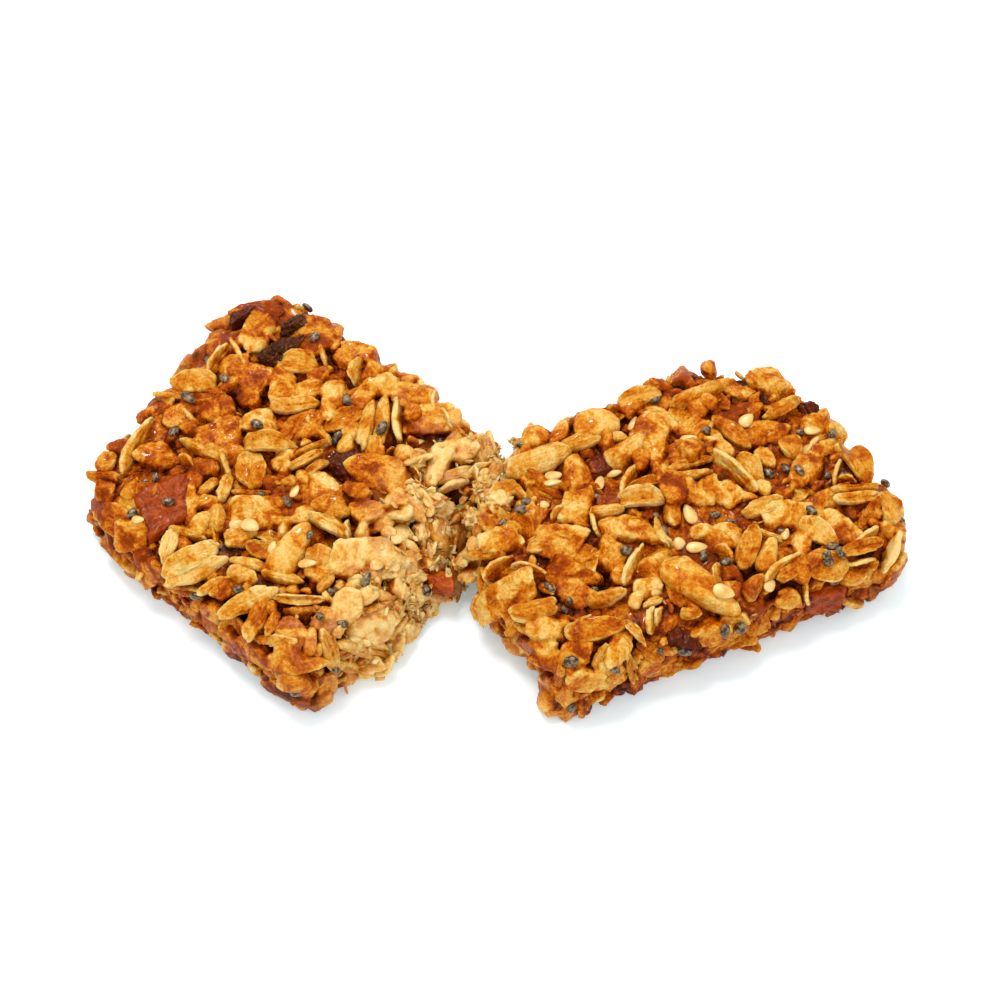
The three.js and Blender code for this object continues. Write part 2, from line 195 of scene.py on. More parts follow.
# The camera looks at the bar as it is laid out. Spots below are pixels of a view 1000 across.
view = {
    "elevation": 56,
    "distance": 330,
    "lookAt": (0, 0, 6),
    "lens": 78.4,
    "sensor": 36,
    "shiftY": 0.005,
    "middle": (500, 505),  # the pixel that shows the spot looked at
    "pixels": 6.6,  # to a millimetre there
    "standOff": 1.2,  # how far the face that is seen lies outside the slab
    "passing": (250, 400),  # how far away a line of sight can pass the bar
    "step": 0.2,
    "steepest": 4,  # below this a face is too edge-on to measure along
    "narrowest": 2.6,
    "longest": (1.6, 1.7),  # how much foreshortening may add to a length and a width
    "grown": 1.1,  # the syrup adds this much to what shows of a piece
}
baking = {"palest": 0.04, "step": 0.058, "fringeStep": 0.068}  # how dark 0 is, and each step from there

# The pieces that show most, as the camera sees them: kind, spot in pixels, length, width, angle and how
# darkly baked it is, from 0 to 9. Then its thickness and its tilt, where they aren't the kind's own.
showRules = {
    "oat": {"thickness": 2.0, "tilt": 8},
    "sliver": {"width": 3.0, "thickness": 0.9, "tilt": 74},
    "nut": {"thickness": 3.3, "tilt": 8},
    "kernel": {"thickness": 2.2, "tilt": 5},
    "curl": {"thickness": 1.8, "tilt": 60},
    "crumb": {"thickness": 3, "tilt": 15},
}
showPieces = {
    "left": [
        ("oat", 195, 382, 43, 20, 3, 2, 2.2), ("nut", 256, 331, 38, 29, 75, 2, 3.4, 12),
        ("nut", 262, 309, 42, 18, 15, 7, 2.6, 20), ("nut", 309, 335, 48, 40, 20, 5, 4),
        ("kernel", 335, 337, 22, 12, 75, 2, 1.8), ("sliver", 322, 350, 30, 7, 105, 3),
        ("oat", 298, 364, 38, 18, -5, 4, 2.2), ("nut", 318, 372, 20, 18, 0, 6, 2.6),
        ("nut", 281, 386, 38, 24, 82, 3.5, 3.6), ("nut", 302, 391, 44, 20, 25, 2, 3),
        ("oat", 295, 407, 44, 13, 5, 2.5, 2.4), ("nut", 334, 394, 38, 26, 88, 2, 3.4),
        ("nut", 252, 377, 32, 28, 0, 5.5, 3.4), ("nut", 248, 398, 24, 18, 0, 5, 2.6),
        ("nut", 258, 420, 36, 30, 0, 1, 3.8), ("nut", 216, 410, 38, 24, 15, 6, 3.2),
        ("nut", 220, 436, 40, 31, 30, 6, 3.6), ("nut", 176, 415, 32, 28, 20, 4.5, 3),
        ("nut", 220, 337, 28, 30, 60, 5, 3.8), ("sliver", 218, 357, 32, 7, 53, 2),
        ("nut", 230, 368, 26, 26, 0, 5, 3.2), ("nut", 186, 365, 34, 22, 30, 5, 3.6),
        ("oat", 214, 392, 24, 13, -20, 3.5, 1.8), ("sliver", 240, 352, 32, 7, 120, 4),
        ("nut", 306, 424, 42, 24, 0, 5.5, 3.4), ("oat", 344, 420, 42, 15, 25, 4, 2),
        ("nut", 345, 354, 28, 22, 0, 5, 3), ("curl", 356, 371, 24, 20, 70, 1.5, 2),
        ("nut", 372, 369, 22, 18, -20, 5, 2.6), ("nut", 362, 347, 40, 18, -20, 4.5, 3),
        ("nut", 366, 394, 42, 16, 52, 2.5, 3.2), ("nut", 388, 384, 24, 20, -25, 4.5, 3),
        ("oat", 367, 425, 44, 14, 80, 2.5, 2.2, 35), ("oat", 383, 419, 44, 13, 86, 3.5, 2, 45),
        ("sliver", 397, 420, 42, 9, 93, 2), ("kernel", 351, 430, 18, 14, 60, 2, 2.4),
        ("kernel", 346, 443, 20, 14, 75, 2.5, 2.4), ("nut", 414, 394, 34, 26, -20, 3, 3.2),
        ("nut", 425, 391, 26, 12, 100, 2, 2.6), ("sliver", 437, 401, 22, 6, 85, 3),
        ("nut", 424, 418, 44, 26, 0, 3.5, 3.4), ("kernel", 413, 415, 18, 14, 0, 6.5, 3),
        ("sliver", 443, 417, 24, 6, -45, 2), ("kernel", 454, 418, 20, 15, -60, 5.5, 2.4),
        ("kernel", 404, 453, 20, 15, 5, 1, 2.2), ("nut", 373, 450, 26, 24, 0, 3.5, 3),
        ("nut", 386, 476, 54, 38, 0, 5.5, 4), ("oat", 312, 447, 34, 7, 22, 3, 1.8),
        ("oat", 305, 459, 36, 8, 28, 2.5, 1.8), ("oat", 318, 467, 28, 7, 30, 3.5, 1.8),
        ("nut", 285, 455, 20, 13, 0, 2.5, 2.6), ("nut", 281, 464, 20, 14, 0, 2, 2.6),
        ("kernel", 290, 479, 18, 10, 0, 1, 1.6), ("nut", 323, 488, 42, 24, -3, 1, 2.6),
        ("oat", 323, 432, 26, 7, -52, 3, 1.6), ("nut", 340, 411, 36, 20, -10, 5.5, 2.8),
        ("sliver", 312, 418, 18, 5, 75, 3), ("sliver", 137, 445, 60, 9, 60, 2.5),
        ("oat", 104, 463, 22, 14, 50, 3, 2), ("oat", 101, 478, 30, 12, -5, 6, 1.8),
        ("oat", 104, 490, 20, 17, 70, 6, 1.8), ("nut", 97, 504, 22, 18, 70, 6, 2.4),
        ("nut", 126, 446, 24, 16, 20, 6.5, 2.6), ("oat", 204, 452, 48, 12, -28, 1, 2.4, 20),
        ("oat", 217, 453, 24, 13, -35, 3, 2), ("nut", 160, 455, 32, 26, 20, 4, 3.4),
        ("nut", 206, 465, 26, 20, -10, 4.5, 3), ("sliver", 187, 461, 18, 5, -35, 2),
        ("oat", 251, 470, 34, 29, 95, 2, 2.2), ("oat", 269, 446, 50, 16, 0, 3, 2.6),
        ("oat", 225, 487, 26, 12, 70, 2, 1.8), ("oat", 208, 487, 24, 9, 40, 3.5, 1.8),
        ("nut", 211, 502, 24, 16, 10, 5.5, 2.8), ("oat", 252, 492, 36, 8, -3, 3.5, 1.6),
        ("nut", 250, 509, 50, 27, 0, 2, 3.8), ("nut", 191, 505, 44, 12, 90, 5, 3),
        ("oat", 170, 546, 32, 15, 72, 1, 2.4), ("oat", 187, 533, 34, 12, -14, 1, 2.2, 15),
        ("oat", 207, 546, 24, 9, 8, 2, 1.8), ("nut", 130, 535, 38, 30, 0, 4.5, 3.6),
        ("oat", 240, 536, 30, 18, 20, 3, 2), ("nut", 270, 515, 24, 26, 60, 4, 3.2),
        ("oat", 148, 492, 22, 17, 70, 3.5, 2), ("oat", 131, 491, 18, 15, 60, 4.5, 1.8),
        ("sliver", 95, 511, 24, 5, 125, 2.5), ("nut", 167, 481, 32, 14, 10, 6.5, 2.8),
        ("nut", 190, 478, 24, 18, -10, 5.5, 2.8), ("oat", 258, 544, 22, 8, -5, 2.5, 1.6),
        ("oat", 270, 548, 14, 10, 80, 2, 1.6), ("nut", 304, 512, 26, 20, 50, 2.5, 2.8),
        ("oat", 331, 508, 38, 17, -12, 5, 2.4), ("oat", 330, 527, 44, 12, -28, 2, 2.6),
        ("sliver", 348, 531, 22, 6, 97, 1), ("oat", 345, 546, 16, 7, 45, 2, 1.6),
        ("kernel", 291, 551, 56, 25, 58, 2.5, 3.6), ("oat", 322, 558, 32, 20, -20, 3, 2.2),
        ("oat", 283, 577, 40, 12, -13, 2.5, 2.2, 25), ("oat", 325, 582, 22, 10, 50, 3, 1.8),
        ("nut", 348, 560, 38, 34, 80, 2.5, 4.4), ("nut", 378, 552, 46, 32, 10, 3.5, 4),
        ("kernel", 388, 530, 15, 11, 0, 2, 2), ("nut", 366, 513, 34, 22, 0, 5.5, 3.4),
        ("nut", 362, 530, 14, 18, 80, 2, 2.6), ("nut", 383, 520, 22, 15, 0, 3.5, 2.6),
        ("curl", 360, 507, 18, 9, 40, 1.5, 1.6), ("oat", 412, 505, 36, 14, -45, 3, 2.2),
        ("oat", 378, 488, 20, 7, -40, 2.5, 1.6), ("oat", 190, 561, 60, 19, 25, 2.5, 2.2),
        ("oat", 194, 573, 62, 17, 22, 2, 2.2), ("oat", 180, 592, 32, 8, -8, 4, 1.8),
        ("oat", 214, 584, 34, 9, 30, 3.5, 1.8), ("oat", 243, 575, 28, 20, -20, 2.5, 1.8),
        ("oat", 250, 563, 40, 9, -12, 2.5, 1.8), ("oat", 249, 601, 62, 18, 26, 1.5, 2.2, 20),
        ("oat", 205, 625, 36, 15, -38, 3.5, 2), ("nut", 210, 609, 30, 16, -20, 6, 2.8),
        ("kernel", 193, 607, 14, 10, 60, 2.5, 2), ("oat", 254, 624, 44, 16, 65, 5, 2.4),
        ("kernel", 270, 607, 16, 14, 60, 3.5, 2.4), ("oat", 273, 622, 26, 10, 65, 4, 1.8),
        ("nut", 294, 630, 30, 20, 0, 5.5, 3), ("nut", 250, 654, 28, 18, -20, 6, 3),
        ("nut", 285, 648, 30, 12, 5, 5, 2.6), ("nut", 271, 662, 22, 18, 0, 7, 2.8),
        ("nut", 300, 664, 32, 24, 20, 5, 3.4), ("kernel", 289, 686, 32, 18, -18, 3.5, 3.4),
        ("nut", 311, 694, 18, 18, 0, 3, 2.8), ("nut", 332, 690, 20, 18, 0, 4, 3),
        ("nut", 308, 706, 24, 9, -5, 6, 2.4), ("kernel", 310, 638, 26, 11, 80, 3, 2.4),
        ("kernel", 318, 650, 16, 11, 60, 2, 2.2), ("nut", 347, 606, 32, 34, 80, 3.5, 3.8),
        ("kernel", 372, 595, 20, 15, 20, 2, 2.6), ("kernel", 391, 597, 17, 12, -10, 2, 2.4),
        ("oat", 380, 609, 32, 11, 25, 4.5, 2.2), ("oat", 298, 598, 52, 8, -2, 2.5, 2.2, 40),
        ("nut", 300, 608, 30, 9, 0, 6, 2.4), ("nut", 148, 574, 28, 18, 75, 6, 3.2),
        ("nut", 435, 463, 52, 24, 72, 1, 3.6), ("oat", 463, 474, 44, 15, 14, 1.5, 1.8),
        ("sliver", 457, 485, 32, 8, 16, 0), ("nut", 468, 450, 28, 26, 30, 2, 3),
        ("kernel", 414, 545, 24, 8, -38, 1, 2), ("crumb", 446, 511, 32, 20, 10, 1.5, 3),
        ("crumb", 464, 533, 24, 24, 0, 0, 3.2), ("nut", 454, 544, 26, 20, 20, 3, 3),
        ("crumb", 426, 531, 16, 28, 0, 2, 3), ("kernel", 480, 506, 18, 14, 0, 3, 2.4),
        ("nut", 412, 563, 30, 26, 20, 4, 3), ("nut", 452, 579, 26, 22, 30, 8, 3.4),
        ("oat", 475, 560, 36, 11, 20, 4, 1.8), ("nut", 444, 597, 32, 12, 10, 5, 3),
        ("crumb", 422, 578, 26, 18, 20, 2, 3), ("nut", 404, 634, 18, 20, 40, 2, 3),
        ("nut", 379, 627, 40, 34, -8, 1, 4.2), ("crumb", 401, 617, 22, 18, 30, 1, 3.4),
        ("crumb", 411, 629, 20, 16, 20, 0.5, 3), ("oat", 374, 645, 38, 12, -8, 0.5, 2, 25),
        ("crumb", 372, 611, 26, 12, 25, 0.5, 2.2), ("crumb", 400, 639, 20, 12, -20, 0.5, 2.2),
        ("sliver", 414, 640, 26, 7, 32, 1), ("oat", 372, 658, 56, 18, -17, 2.5, 2.6),
        ("oat", 361, 676, 42, 13, -20, 2.5, 2.2), ("oat", 331, 650, 42, 15, 108, 2.5, 2.2),
        ("crumb", 402, 610, 24, 22, 60, 3, 3), ("crumb", 395, 567, 36, 26, 10, 1.5, 3),
        ("crumb", 415, 580, 26, 22, 0, 1.5, 3), ("nut", 462, 413, 18, 16, 60, 4.5, 2.2),
    ],
    "right": [
        ("crumb", 500, 500, 28, 20, 10, 2, 3), ("nut", 500, 541, 38, 28, 18, 2, 3.2),
        ("kernel", 536, 437, 26, 16, 5, 3.5, 2.8), ("kernel", 527, 449, 12, 9, 0, 6, 2),
        ("nut", 560, 432, 24, 16, 60, 4, 2.6), ("kernel", 597, 425, 44, 22, 3, 2.5, 3),
        ("oat", 538, 460, 60, 26, 22, 1.5, 2.2), ("oat", 580, 442, 42, 12, 15, 2, 2.2),
        ("oat", 626, 450, 44, 20, 32, 2.5, 2.2), ("oat", 616, 437, 24, 8, -5, 2, 1.8),
        ("kernel", 500, 455, 42, 17, 8, 3.5, 3), ("nut", 576, 475, 34, 32, 90, 4, 3.4),
        ("sliver", 629, 480, 34, 8, 65, 3), ("oat", 646, 485, 44, 9, 20, 3.5, 2),
        ("oat", 643, 500, 48, 17, 4, 1.5, 2.6), ("nut", 577, 508, 36, 28, 80, 2.5, 3.2),
        ("oat", 607, 511, 32, 12, 5, 2.5, 2.2), ("sliver", 595, 522, 24, 6, 107, 1.5),
        ("kernel", 485, 487, 14, 11, 60, 1, 2), ("oat", 505, 490, 28, 16, 20, 2, 2),
        ("curl", 516, 491, 26, 12, -30, 3, 2), ("nut", 565, 500, 20, 12, 0, 5, 2.2),
        ("nut", 532, 514, 26, 20, 0, 6, 2.8), ("oat", 494, 474, 22, 9, -35, 3, 2),
        ("oat", 640, 397, 44, 13, 14, 4, 2), ("kernel", 633, 406, 24, 15, 30, 4, 2.6),
        ("nut", 652, 430, 30, 38, 60, 3.5, 3.4), ("oat", 702, 392, 60, 15, 20, 4, 2.2),
        ("nut", 668, 396, 20, 16, 0, 6.5, 2.4), ("oat", 735, 389, 32, 11, -28, 6, 1.6),
        ("kernel", 750, 390, 20, 11, 25, 2, 1.8), ("nut", 772, 381, 32, 28, 20, 3.5, 4),
        ("oat", 753, 405, 22, 11, 70, 3, 2), ("nut", 742, 414, 40, 28, -8, 8, 3.4),
        ("nut", 514, 617, 28, 20, 30, 3, 3), ("oat", 530, 632, 30, 14, -30, 2.5, 2, 20),
        ("nut", 541, 650, 24, 18, 20, 3.5, 3), ("oat", 732, 432, 46, 13, -38, 5, 2.2),
        ("nut", 752, 432, 26, 22, 0, 6, 3), ("nut", 694, 425, 26, 19, 0, 3.5, 2.8),
        ("oat", 692, 443, 26, 7, 0, 3, 1.6), ("nut", 660, 418, 40, 15, -15, 2.5, 2.8),
        ("nut", 655, 444, 42, 26, -62, 5, 3.4), ("oat", 717, 437, 20, 8, -55, 2, 1.8),
        ("kernel", 725, 449, 20, 12, -30, 1.5, 2.4), ("sliver", 735, 470, 58, 9, -41, 2),
        ("oat", 748, 468, 34, 18, -35, 3.5, 2), ("kernel", 763, 487, 18, 12, -50, 1, 2),
        ("oat", 690, 463, 46, 7, 14, 3, 1.8), ("oat", 692, 474, 38, 8, 6, 2.5, 2),
        ("nut", 708, 490, 28, 18, 95, 1.5, 3), ("nut", 690, 490, 26, 20, 0, 2, 3),
        ("nut", 729, 492, 26, 22, -20, 2, 3), ("nut", 807, 467, 34, 32, 70, 4, 3.8),
        ("oat", 790, 446, 24, 18, -60, 5, 2), ("oat", 782, 408, 38, 12, 28, 4, 2.2, 20),
        ("nut", 776, 430, 22, 20, 0, 5.5, 2.8), ("nut", 812, 421, 24, 18, 0, 3.5, 2.6),
        ("nut", 766, 456, 20, 15, 0, 5, 2.6), ("nut", 822, 446, 24, 14, 30, 3.5, 2.4),
        ("oat", 860, 466, 38, 20, -55, 3.5, 2.6), ("oat", 855, 448, 28, 8, -40, 3, 1.8),
        ("sliver", 838, 471, 24, 6, 72, 2), ("nut", 824, 497, 44, 17, 18, 3.5, 2.8),
        ("oat", 855, 488, 44, 9, 5, 3, 2), ("oat", 858, 498, 46, 10, 3, 2.5, 2),
        ("sliver", 847, 480, 18, 5, -20, 3), ("nut", 882, 486, 26, 12, -15, 5.5, 2.4),
        ("oat", 890, 503, 26, 14, -30, 4, 2.4), ("oat", 893, 517, 20, 12, -50, 4.5, 2.4),
        ("oat", 764, 507, 40, 15, 18, 2, 2.4), ("kernel", 750, 496, 18, 7, -12, 2, 1.8),
        ("nut", 784, 513, 42, 26, 5, 2, 3.6), ("nut", 843, 527, 46, 28, -42, 2.5, 2.6),
        ("oat", 818, 533, 42, 20, -36, 2.5, 2.4), ("nut", 801, 542, 34, 20, 95, 3, 3.2),
        ("kernel", 767, 555, 34, 18, 78, 2, 2.6), ("sliver", 781, 567, 44, 8, 38, 2),
        ("oat", 748, 547, 44, 20, 72, 5, 2.4), ("oat", 770, 535, 28, 7, -20, 2.5, 1.8),
        ("nut", 724, 534, 36, 28, 0, 2.5, 3.2), ("sliver", 725, 553, 22, 7, -42, 2),
        ("sliver", 893, 551, 42, 8, 68, 1.5), ("oat", 862, 552, 40, 14, 14, 5.5, 2.4),
        ("sliver", 862, 562, 26, 5, 14, 2), ("nut", 798, 573, 30, 18, -10, 4.5, 3),
        ("oat", 790, 575, 24, 13, 30, 4, 2), ("sliver", 808, 596, 22, 6, 95, 2.5),
        ("oat", 874, 574, 24, 8, 60, 2.5, 1.8), ("oat", 868, 590, 30, 7, 15, 3, 1.8),
        ("sliver", 866, 536, 30, 7, 38, 2), ("nut", 854, 580, 24, 14, 0, 5, 2.8),
        ("oat", 754, 592, 26, 17, 50, 6, 2.6), ("nut", 895, 530, 16, 26, 80, 4.5, 2.6),
        ("nut", 628, 527, 58, 25, -3, 3, 3.6), ("nut", 581, 527, 16, 11, 0, 2, 2.2),
        ("nut", 672, 507, 30, 18, 88, 2, 3), ("curl", 660, 532, 30, 14, 115, 2, 2.2),
        ("nut", 702, 528, 26, 14, 0, 2.5, 2.8), ("sliver", 633, 564, 44, 7, 63, 2),
        ("nut", 657, 566, 34, 26, 30, 3, 3.2), ("nut", 648, 586, 26, 22, 0, 2.5, 3.2),
        ("kernel", 637, 598, 19, 12, 60, 1.5, 2), ("kernel", 700, 588, 80, 28, -33, 3, 4),
        ("nut", 610, 553, 30, 32, 60, 5.5, 3.6), ("nut", 622, 573, 18, 22, 70, 5.5, 3),
        ("oat", 653, 601, 20, 8, 25, 2.5, 1.8), ("oat", 607, 597, 38, 14, 14, 4, 2.4),
        ("nut", 553, 540, 50, 33, -10, 3.5, 4), ("nut", 568, 572, 46, 28, -30, 5.5, 3.6),
        ("nut", 577, 593, 34, 24, -20, 3.5, 3.2), ("sliver", 530, 569, 34, 5, -16, 2),
        ("nut", 499, 598, 62, 33, 27, 3.5, 4.6), ("oat", 535, 610, 46, 20, 12, 3.5, 2.6),
        ("oat", 516, 622, 28, 17, 55, 3, 2.4), ("nut", 545, 625, 30, 22, 20, 3.5, 3),
        ("nut", 488, 628, 28, 16, -20, 5, 3), ("nut", 522, 650, 36, 22, -18, 3, 3.4),
        ("nut", 548, 664, 28, 16, -10, 5.5, 3), ("nut", 542, 697, 44, 30, 88, 4, 3.8),
        ("kernel", 566, 701, 20, 13, 78, 2, 2), ("nut", 586, 682, 32, 24, 0, 5, 3.2),
        ("oat", 537, 547, 20, 10, 10, 3.5, 1.8), ("kernel", 532, 563, 16, 8, 80, 2.5, 1.8),
        ("nut", 503, 541, 40, 22, -4, 2.5, 3), ("oat", 480, 553, 38, 9, 5, 4, 2),
        ("sliver", 498, 566, 36, 6, 36, 4), ("oat", 595, 630, 58, 20, 10, 6.5, 2.8),
        ("nut", 621, 648, 34, 26, 72, 4.5, 3.4), ("oat", 634, 632, 30, 8, -45, 3.5, 1.8),
        ("oat", 577, 623, 28, 7, 30, 2, 1.6), ("oat", 635, 675, 32, 10, 105, 2, 2),
        ("kernel", 620, 686, 20, 11, 5, 3, 2), ("nut", 575, 650, 28, 24, 0, 5.5, 3),
        ("sliver", 650, 620, 24, 8, 85, 2.5), ("sliver", 658, 615, 16, 6, 75, 3),
        ("oat", 692, 617, 20, 12, -5, 5.5, 2), ("nut", 712, 636, 42, 22, 25, 5.5, 3.2),
        ("kernel", 673, 652, 22, 10, 5, 2, 2.2), ("oat", 672, 671, 22, 11, 20, 3.5, 2),
        ("nut", 650, 672, 24, 20, 70, 5, 2.8), ("nut", 735, 618, 28, 14, 20, 5, 2.8),
        ("kernel", 779, 617, 16, 8, 80, 2.5, 1.8), ("nut", 790, 597, 24, 18, 30, 5.5, 2.8),
    ],
}

# Pieces beyond the slabs' own edges, that bridge or fray the break: kind, spot in pixels, height, size,
# turn, tilt and how darkly baked.
fringe = {
    "left": [
        ("scale", (481, 471), 10.4, (5, 3, 0.8), 30, 40, 1),
        ("oat", (503, 476), 10.6, (6.6, 3.6, 1.6), 20, 15, 3),
        ("crumb", (489, 480), 10.4, (4, 3.4, 3), 20, 20, 1),
        ("scale", (477, 479), 10.2, (4.2, 2.4, 0.7), 80, 60, 1),
        ("oat", (494, 478), 11, (5.2, 2.8, 1.4), 70, 30, 5),
        ("crumb", (484, 488), 10.6, (4, 3.2, 2.8), 60, 30, 2),
        ("kernel", (491, 497), 10.6, (3.8, 2.6, 2.2), 10, 20, 5),
        ("scale", (479, 502), 10.2, (4.6, 3, 0.8), 130, 50, 2),
        ("nut", (486, 512), 10.2, (4.2, 3.4, 3.2), 70, 20, 4),
        ("crumb", (475, 520), 9.6, (4.4, 3.6, 3), 0, 20, 1),
        ("scale", (484, 528), 9.8, (4.6, 2.8, 0.8), 20, 50, 3),
        ("nut", (474, 538), 9, (5, 3.8, 3.2), 25, 20, 3),
        ("kernel", (483, 545), 9.2, (5, 3, 2.2), 15, 20, 4),
        ("oat", (471, 553), 8.2, (5.6, 3, 1.4), 35, 40, 3),
        ("scale", (478, 560), 8, (5, 3, 0.9), 50, 60, 4),
        ("nut", (469, 566), 7, (4.6, 3.6, 3.2), 50, 20, 5),
        ("chip", (466, 578), 5.4, (4.4, 3.4, 3), 20, 20, 6),
        ("oat", (472, 572), 6.6, (5.4, 3, 1.4), 80, 40, 5),
        ("chip", (464, 587), 3.6, (4.4, 3.6, 3.2), 60, 10, 7),
        ("nut", (318, 696), 2.2, (4.6, 3.6, 3.4), 30, 10, 6),
        ("nut", (186, 374), 8.5, (5.6, 4.2, 3.6), 40, 10, 5),
        ("nut", (203, 358), 8.5, (5, 4, 3.6), 30, 10, 6),
        ("chip", (221, 345), 9, (4.2, 3.6, 3.2), 10, 10, 7),
        ("chip", (404, 384), 10, (4.2, 3.4, 3), 150, 10, 5),
        ("kernel", (424, 396), 10, (4.6, 3.2, 2.6), 150, 10, 4),
        ("nut", (337, 670), 2.2, (4.2, 3.4, 3), 20, 12, 1),
        ("oat", (366, 662), 3.6, (6, 3.2, 1.6), -20, 20, 2),
        ("chip", (98, 517), 3.4, (3.8, 3, 3), 40, 10, 6),
        ("nut", (364, 668), 1.8, (4.4, 3.6, 3.2), 20, 12, 1),
        ("scale", (384, 665), 2.6, (4.6, 3.2, 0.9), 20, 30, 1),
        ("oat", (392, 650), 2.6, (5.6, 3.2, 1.5), 50, 30, 1),
        ("crumb", (402, 630), 3.6, (4.2, 3.4, 3), 20, 12, 1),
        ("chip", (236, 322), 10, (4.2, 3.4, 3), 40, 10, 6),
    ],
    "right": [
        ("nut", (495, 606), 5.5, (6, 4.4, 4), 35, 12, 4),
        ("nut", (484, 600), 3.6, (4.6, 3.8, 3.4), 60, 12, 5),
        ("chip", (504, 618), 3.6, (4.4, 3.6, 3.2), 20, 10, 6),
        ("nut", (513, 628), 3, (4.6, 3.8, 3.4), 40, 10, 6),
        ("nut", (524, 644), 4, (5.4, 4.4, 4), 20, 16, 2),
        ("chip", (541, 660), 3.2, (4.2, 3.6, 3.2), 60, 10, 4),
        ("nut", (551, 684), 3, (4.6, 4.2, 4.6), 70, 10, 3),
        ("nut", (557, 695), 2.4, (4.2, 3.8, 3.8), 20, 10, 4),
        ("nut", (568, 701), 2.2, (4.4, 3.4, 3.4), 10, 8, 4),
        ("nut", (548, 699), 2.2, (4.8, 4, 4), 60, 8, 3),
        ("chip", (554, 707), 1.6, (4, 3.2, 2.6), 20, 8, 4),
        ("chip", (567, 709), 1.4, (3.8, 3, 2.4), 20, 8, 5),
        ("nut", (487, 608), 4.6, (4.4, 3.6, 3.4), 60, 12, 4),
        ("oat", (897, 520), 6.6, (5, 3.4, 1.6), 60, 60, 4),
        ("nut", (894, 546), 5.4, (4.2, 3.4, 3), 70, 10, 4),
        ("chip", (888, 568), 3.4, (4, 3.2, 3), 40, 10, 5),
        ("chip", (872, 586), 2, (4, 3.2, 3), 30, 10, 6),
        ("oat", (850, 600), 2.4, (6, 3.4, 1.6), 25, 60, 4),
    ],
}

# Seeds stuck to the surface, as the camera sees them: spot in pixels, length, width and angle.
showSeeds = {
    "left": {
        "sesame": [
            (237, 526, 15, 10, 20), (252, 531, 20, 15, -35), (308, 569, 20, 9, -3), (274, 550, 12, 9, 70),
            (296, 495, 14, 8, 60), (415, 436, 20, 8, 18), (376, 565, 14, 10, 10), (208, 545, 10, 7, 0),
            (140, 523, 13, 8, 0),
        ],
        "chia": [
            (204, 355, 14, 8, -55), (226, 383, 12, 9, -50), (189, 402, 15, 9, -30), (175, 433, 14, 8, 55),
            (258, 429, 13, 9, -25), (336, 436, 14, 9, 60), (382, 433, 15, 10, 60), (442, 433, 14, 8, 10),
            (472, 433, 13, 8, 70), (156, 476, 13, 9, 70), (145, 480, 8, 6, 0), (170, 505, 14, 8, 5),
            (133, 514, 13, 9, 60), (314, 343, 12, 8, 40), (287, 503, 12, 8, -50), (310, 540, 10, 7, 50),
            (330, 590, 12, 8, 30), (240, 592, 12, 8, 0), (196, 594, 10, 9, 0), (347, 404, 12, 9, -60),
            (365, 581, 16, 8, 65), (343, 627, 14, 8, 0), (425, 592, 13, 7, 80), (320, 620, 10, 7, -30),
            (262, 497, 9, 6, 0), (90, 525, 9, 7, 80), (292, 697, 12, 8, 20), (334, 668, 9, 6, 0),
        ],
    },
    "right": {
        "sesame": [
            (554, 478, 18, 11, 15), (554, 487, 18, 7, 5), (600, 481, 19, 10, 78), (615, 470, 16, 6, 8),
            (690, 437, 20, 8, 2), (690, 511, 21, 12, 118), (680, 540, 12, 11, 0), (697, 545, 22, 11, 3),
            (688, 559, 17, 9, -30), (722, 602, 23, 13, -12), (770, 589, 18, 12, 58), (746, 423, 15, 12, 40),
            (634, 423, 18, 9, 80), (812, 430, 17, 8, -3), (815, 438, 14, 6, 50), (808, 447, 13, 8, 10),
            (545, 505, 10, 8, 0), (655, 592, 11, 6, 10), (785, 535, 12, 8, 70),
        ],
        "chia": [
            (527, 503, 11, 8, 30), (522, 517, 13, 9, -15), (503, 525, 10, 7, 60), (597, 494, 10, 7, 15),
            (517, 445, 10, 6, 0), (656, 400, 10, 8, 40), (608, 400, 8, 7, 60), (665, 528, 12, 7, -70),
            (626, 553, 13, 10, 30), (550, 595, 14, 8, -50), (572, 660, 16, 11, 10), (615, 670, 11, 8, -40),
            (704, 553, 12, 8, 80), (725, 566, 13, 9, 20), (706, 432, 10, 8, 50), (655, 512, 11, 7, -30),
            (716, 513, 12, 7, -5), (730, 518, 10, 6, 10), (770, 470, 13, 9, -50), (786, 467, 13, 7, -50),
            (797, 477, 13, 7, -50), (800, 430, 9, 6, 0), (832, 433, 9, 8, 60), (845, 473, 14, 7, -5),
            (828, 473, 8, 7, 0), (811, 512, 14, 8, -45), (782, 532, 10, 6, -30), (832, 547, 15, 8, -10),
            (824, 557, 10, 8, 50), (840, 557, 14, 9, -50), (828, 566, 12, 9, 20), (838, 580, 14, 9, 65),
            (722, 628, 16, 8, 75), (738, 625, 13, 9, 60), (683, 650, 12, 8, -20), (660, 650, 11, 6, -40),
            (565, 607, 9, 6, -60), (595, 588, 9, 7, 0), (575, 710, 9, 6, 40), (570, 601, 8, 6, -60),
        ],
    },
}

